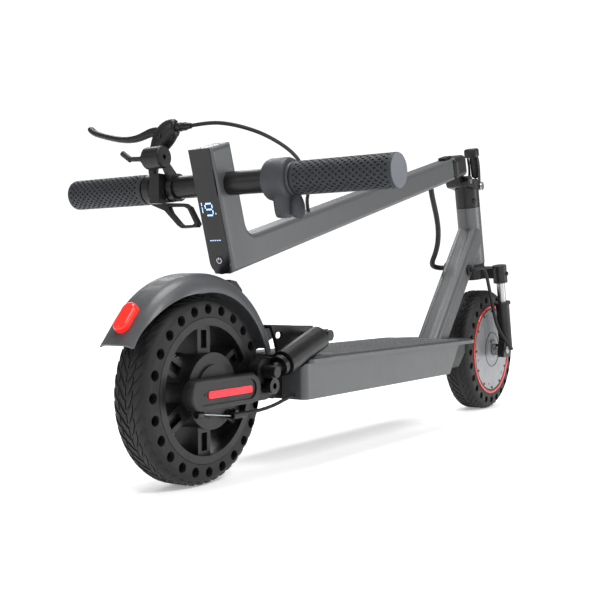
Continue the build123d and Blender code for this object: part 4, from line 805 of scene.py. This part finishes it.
DRUM_ROUTE = [(0.0463, -0.039, 0.078), (0.064, -0.039, 0.078), (0.082, -0.044, 0.08), (0.098, -0.049, 0.084),
              (0.111, -0.053, 0.089), (0.12, -0.055, 0.0914), (0.1277, -0.055, 0.0914)]
BRAKE_RADIUS = 0.0024
BUNDLE_RADIUS = 0.0045
MOTOR_RADIUS = 0.003
DRUM_RADIUS = 0.0022
WIRE_STEPS = 12
WIRE_RADIUS = 0.001
WIRE_ENDS = [(-0.0286, -0.039, 0.0854), (0.0236, -0.039, 0.078)]
STEM_GROMMET = 0.204
BUNDLE_EXIT = 0.59
DOWN_TUBE_SIDE = 0.0245
DOWN_TUBE_FOOT = Vector((0.627, 0, 0.136))
DOWN_TUBE_RISE = Vector((cos(radians(49.5)), 0, sin(radians(49.5))))


def from_rear_hub(points):
    """Points measured along X from the rear hub, and in Y and Z from the frame, as places in the frame."""
    return [Vector((x + REAR_HUB.x, y, z)) for x, y, z in points]


def as_mesh(curve):
    """Mesh that a curve makes, with the curve itself taken away."""
    made = bpy.data.objects.new(curve.name, curve)
    bpy.context.scene.collection.objects.link(made)
    bpy.context.view_layer.update()
    mesh = bpy.data.meshes.new_from_object(made.evaluated_get(bpy.context.evaluated_depsgraph_get()))
    bpy.data.objects.remove(made)
    return mesh


def line_through(name, kind, points):
    """Curve of one spline through or shaped by the points."""
    curve = bpy.data.curves.new(name, "CURVE")
    curve.dimensions = "3D"
    curve.resolution_u = 12
    run = curve.splines.new(kind)
    run.points.add(len(points) - 1)
    for spot, at in zip(run.points, points):
        spot.co = (*at, 1)
    return curve


def route(name, points):
    """Places along the smooth line that the route's points shape."""
    curve = line_through(name + "_route", "NURBS", points)
    run = curve.splines[0]
    run.order_u = 3
    run.use_endpoint_u = True
    return [vert.co.copy() for vert in as_mesh(curve).vertices]


def tube(name, path, radius):
    """Round jacket along a path, closed at both ends."""
    curve = line_through(name, "POLY", path)
    curve.bevel_depth = radius
    curve.bevel_resolution = 4
    curve.use_fill_caps = True
    mesh = as_mesh(curve)
    mesh.materials.clear()
    mesh.materials.append(CABLE)
    for polygon in mesh.polygons:
        polygon.use_smooth = True
    made = bpy.data.objects.new(name, mesh)
    bpy.context.scene.collection.objects.link(made)
    return made


def cable(name, node_name, points, radius, bodies, turns=()):
    """Cable along its route. Without turns it rides on the first body; with turns it is cut into stretches
    that are left in place in the frame, on no body.

    turns are places in the route: those between the first and the last are where one stretch passes to the
    next, and the first and last only tell that the cable is cut.
    """
    path = route(name, points)
    passing = [min(range(len(path)), key=lambda spot: (path[spot] - points[turn]).length)
               for turn in turns[1:-1]]
    cuts = [0] + passing + [len(path) - 1]
    bends = [points[turns[0]]] + [path[spot] for spot in passing] + [points[turns[-1]]] if turns else []
    for index, (first, last) in enumerate(zip(cuts, cuts[1:])):
        stretch = path[first:last + 1]
        made = tube(name if index == 0 else name + "_lower", stretch, radius)
        if bends:
            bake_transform(made)
        else:
            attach(made, bodies[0])
        if index == 0:
            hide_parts(node_name)


def cables():
    """Brake cable over the head, bundle into the down tube, motor lead and the drum brake's cable."""
    grommet = along_stem(STEM_GROMMET, 0.0363)
    over = along_stem(STEM_GROMMET, 0.05)
    brake = from_rear_hub(BRAKE_ROUTE) + [over + Vector((-0.008, -0.008, 0.008)), over, grommet]
    cable("brake_cable_jacket", "brake_cable", brake, BRAKE_RADIUS, ["stem"])
    left = from_rear_hub([tuple(DOWN_TUBE_FOOT + DOWN_TUBE_RISE * 0.158)])[0] + ACROSS * DOWN_TUBE_SIDE
    bundle = [along_stem(BUNDLE_EXIT, -0.0003, 0.004), along_stem(BUNDLE_EXIT, -0.012, 0.004)]
    bundle += from_rear_hub(BUNDLE_ROUTE)
    bundle += [Vector((left.x, 0.037, left.z)), left + ACROSS * 0.0003]
    cable("cable_bundle_sleeve", "cable_bundle", bundle, BUNDLE_RADIUS,
          ["stem", "steerer", "frame"], (2, 6, -1))
    right = from_rear_hub([tuple(DOWN_TUBE_FOOT + DOWN_TUBE_RISE * 0.152)])[0] - ACROSS * DOWN_TUBE_SIDE
    motor = [right - ACROSS * 0.0003, right - ACROSS * 0.011] + from_rear_hub(MOTOR_ROUTE)
    cable("motor_lead", "motor_cable", motor, MOTOR_RADIUS,
          ["frame", "steerer", "fork_lower"], (1, 5, -1))
    drum = from_rear_hub(DRUM_ROUTE)
    cable("drum_brake_outer", "rear_brake_cable", drum, DRUM_RADIUS,
          ["swingarm", "frame"], (1, 5))
    bm = bmesh.new()
    low, high = from_rear_hub(WIRE_ENDS)
    reach = (high - low).length
    outline = [(reach * step / WIRE_STEPS, WIRE_RADIUS) for step in range(WIRE_STEPS + 1)]
    lathe(bm, [(0, 0.0001)] + outline + [(reach, 0.0001)], low, high - low, 12)
    wire = piece("drum_brake_wire", bm, STEEL, None)
    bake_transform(wire)
    bm = bmesh.new()
    for place, reach in ((right, -1), (left, 1)):
        for step in range(3):
            lathe(bm, [(0, 0.0086), (0.0004, 0.0094), (0.0011, 0.0094), (0.0015, 0.0086)],
                  Vector((place.x, place.y - reach * (0.0038 - step * 0.0013), place.z)), ACROSS * reach, 32)
    piece("grommet_ribs", bm, CABLE, "frame")


# ---------------------------------------------------------------- room, light and camera
# name, place, size across, power
LAMPS = [("key", (-0.7, -2.3, 2.6), 1.4, 74), ("fill", (-3.0, 1.2, 1.6), 1.8, 20),
         ("rim", (1.6, 2.4, 2.4), 1.6, 30), ("top", (0.1, 0.2, 3.2), 2.0, 96),
         ("low", (1.3, -2.2, 0.5), 1.0, 17)]
LIT_CENTRE = Vector((0, 0, 0.2))
SKY_LIGHT = 0.34
SKY_SEEN = 1.1
VIEW_FROM = (-1.2497, -0.7143, 0.2266)
VIEW_LENS = 58.02
VIEW_SHIFT = (0.018, 0.007)
VIEW_YAW, VIEW_PITCH, VIEW_ROLL = radians(34.28), radians(-1.12), radians(-0.26)


def room():
    """White studio: an even sky, a pale floor, and soft lamps that shape the tubes."""
    bm = bmesh.new()
    bmesh.ops.create_grid(bm, x_segments=1, y_segments=1, size=30)
    pale = surface("pale_floor", (0.93, 0.93, 0.93), (0.95, 0.95, 0.95), (0.6, 0.7), 0, 0, 40.0, 0.01, 0.4)
    floor = piece("floor", bm, pale, None)
    shader = pale.node_tree.nodes["Principled BSDF"]
    shader.inputs["Emission Color"].default_value = (1, 1, 1, 1)
    tree = pale.node_tree
    away = tree.nodes.new("ShaderNodeVectorMath")
    away.operation = "LENGTH"
    tree.links.new(tree.nodes.new("ShaderNodeTexCoord").outputs["Object"], away.inputs[0])
    glow = spread(tree, away.outputs["Value"], 0.9, 3.2, 0.3, 0.8)
    tree.links.new(glow, shader.inputs["Emission Strength"])
    world = bpy.data.worlds.new("studio")
    bpy.context.scene.world = world
    world.use_nodes = True
    tree = world.node_tree
    sky = tree.nodes["Background"]
    sky.inputs["Color"].default_value = (1, 1, 1, 1)
    seen = tree.nodes.new("ShaderNodeLightPath").outputs["Is Camera Ray"]
    tree.links.new(spread(tree, seen, 0, 1, SKY_LIGHT, SKY_SEEN), sky.inputs["Strength"])
    for name, at, size, power in LAMPS:
        lamp = bpy.data.lights.new(name, "AREA")
        lamp.shape = "DISK"
        lamp.size = size
        lamp.energy = power
        light = bpy.data.objects.new(name, lamp)
        bpy.context.scene.collection.objects.link(light)
        light.matrix_world = placing(at, Vector(at) - LIT_CENTRE)
    bpy.context.scene.view_settings.view_transform = "Standard"


def camera():
    """Level view from behind, on the scooter's right."""
    lens_data = bpy.data.cameras.new("view")
    lens_data.lens = VIEW_LENS
    lens_data.sensor_width = 36
    lens_data.shift_x, lens_data.shift_y = VIEW_SHIFT
    view = bpy.data.objects.new("view", lens_data)
    bpy.context.scene.collection.objects.link(view)
    level = cos(VIEW_PITCH)
    ahead = Vector((level * cos(VIEW_YAW), level * sin(VIEW_YAW), sin(VIEW_PITCH)))
    turn = ahead.to_track_quat("-Z", "Y").to_matrix().to_4x4()
    view.matrix_world = Matrix.Translation(VIEW_FROM) @ turn @ Matrix.Rotation(VIEW_ROLL, 4, "Z")
    bpy.context.scene.camera = view


camera()
cables()
room()
tyre("rear_tyre", REAR_HUB, "rear_wheel")
tyre("front_tyre", FRONT_HUB, "front_wheel")
front_rim_rings()
motor_cover_screws()
drum_cooling_ribs()
grip_sleeve("right_grip", -1)
grip_sleeve("left_grip", 1)
thumb_throttle()
brake_blade()
lever_perch()
bolts_and_screws()
fold_clamp_lever()
hinge_head()
display_marks()
deck_studs()
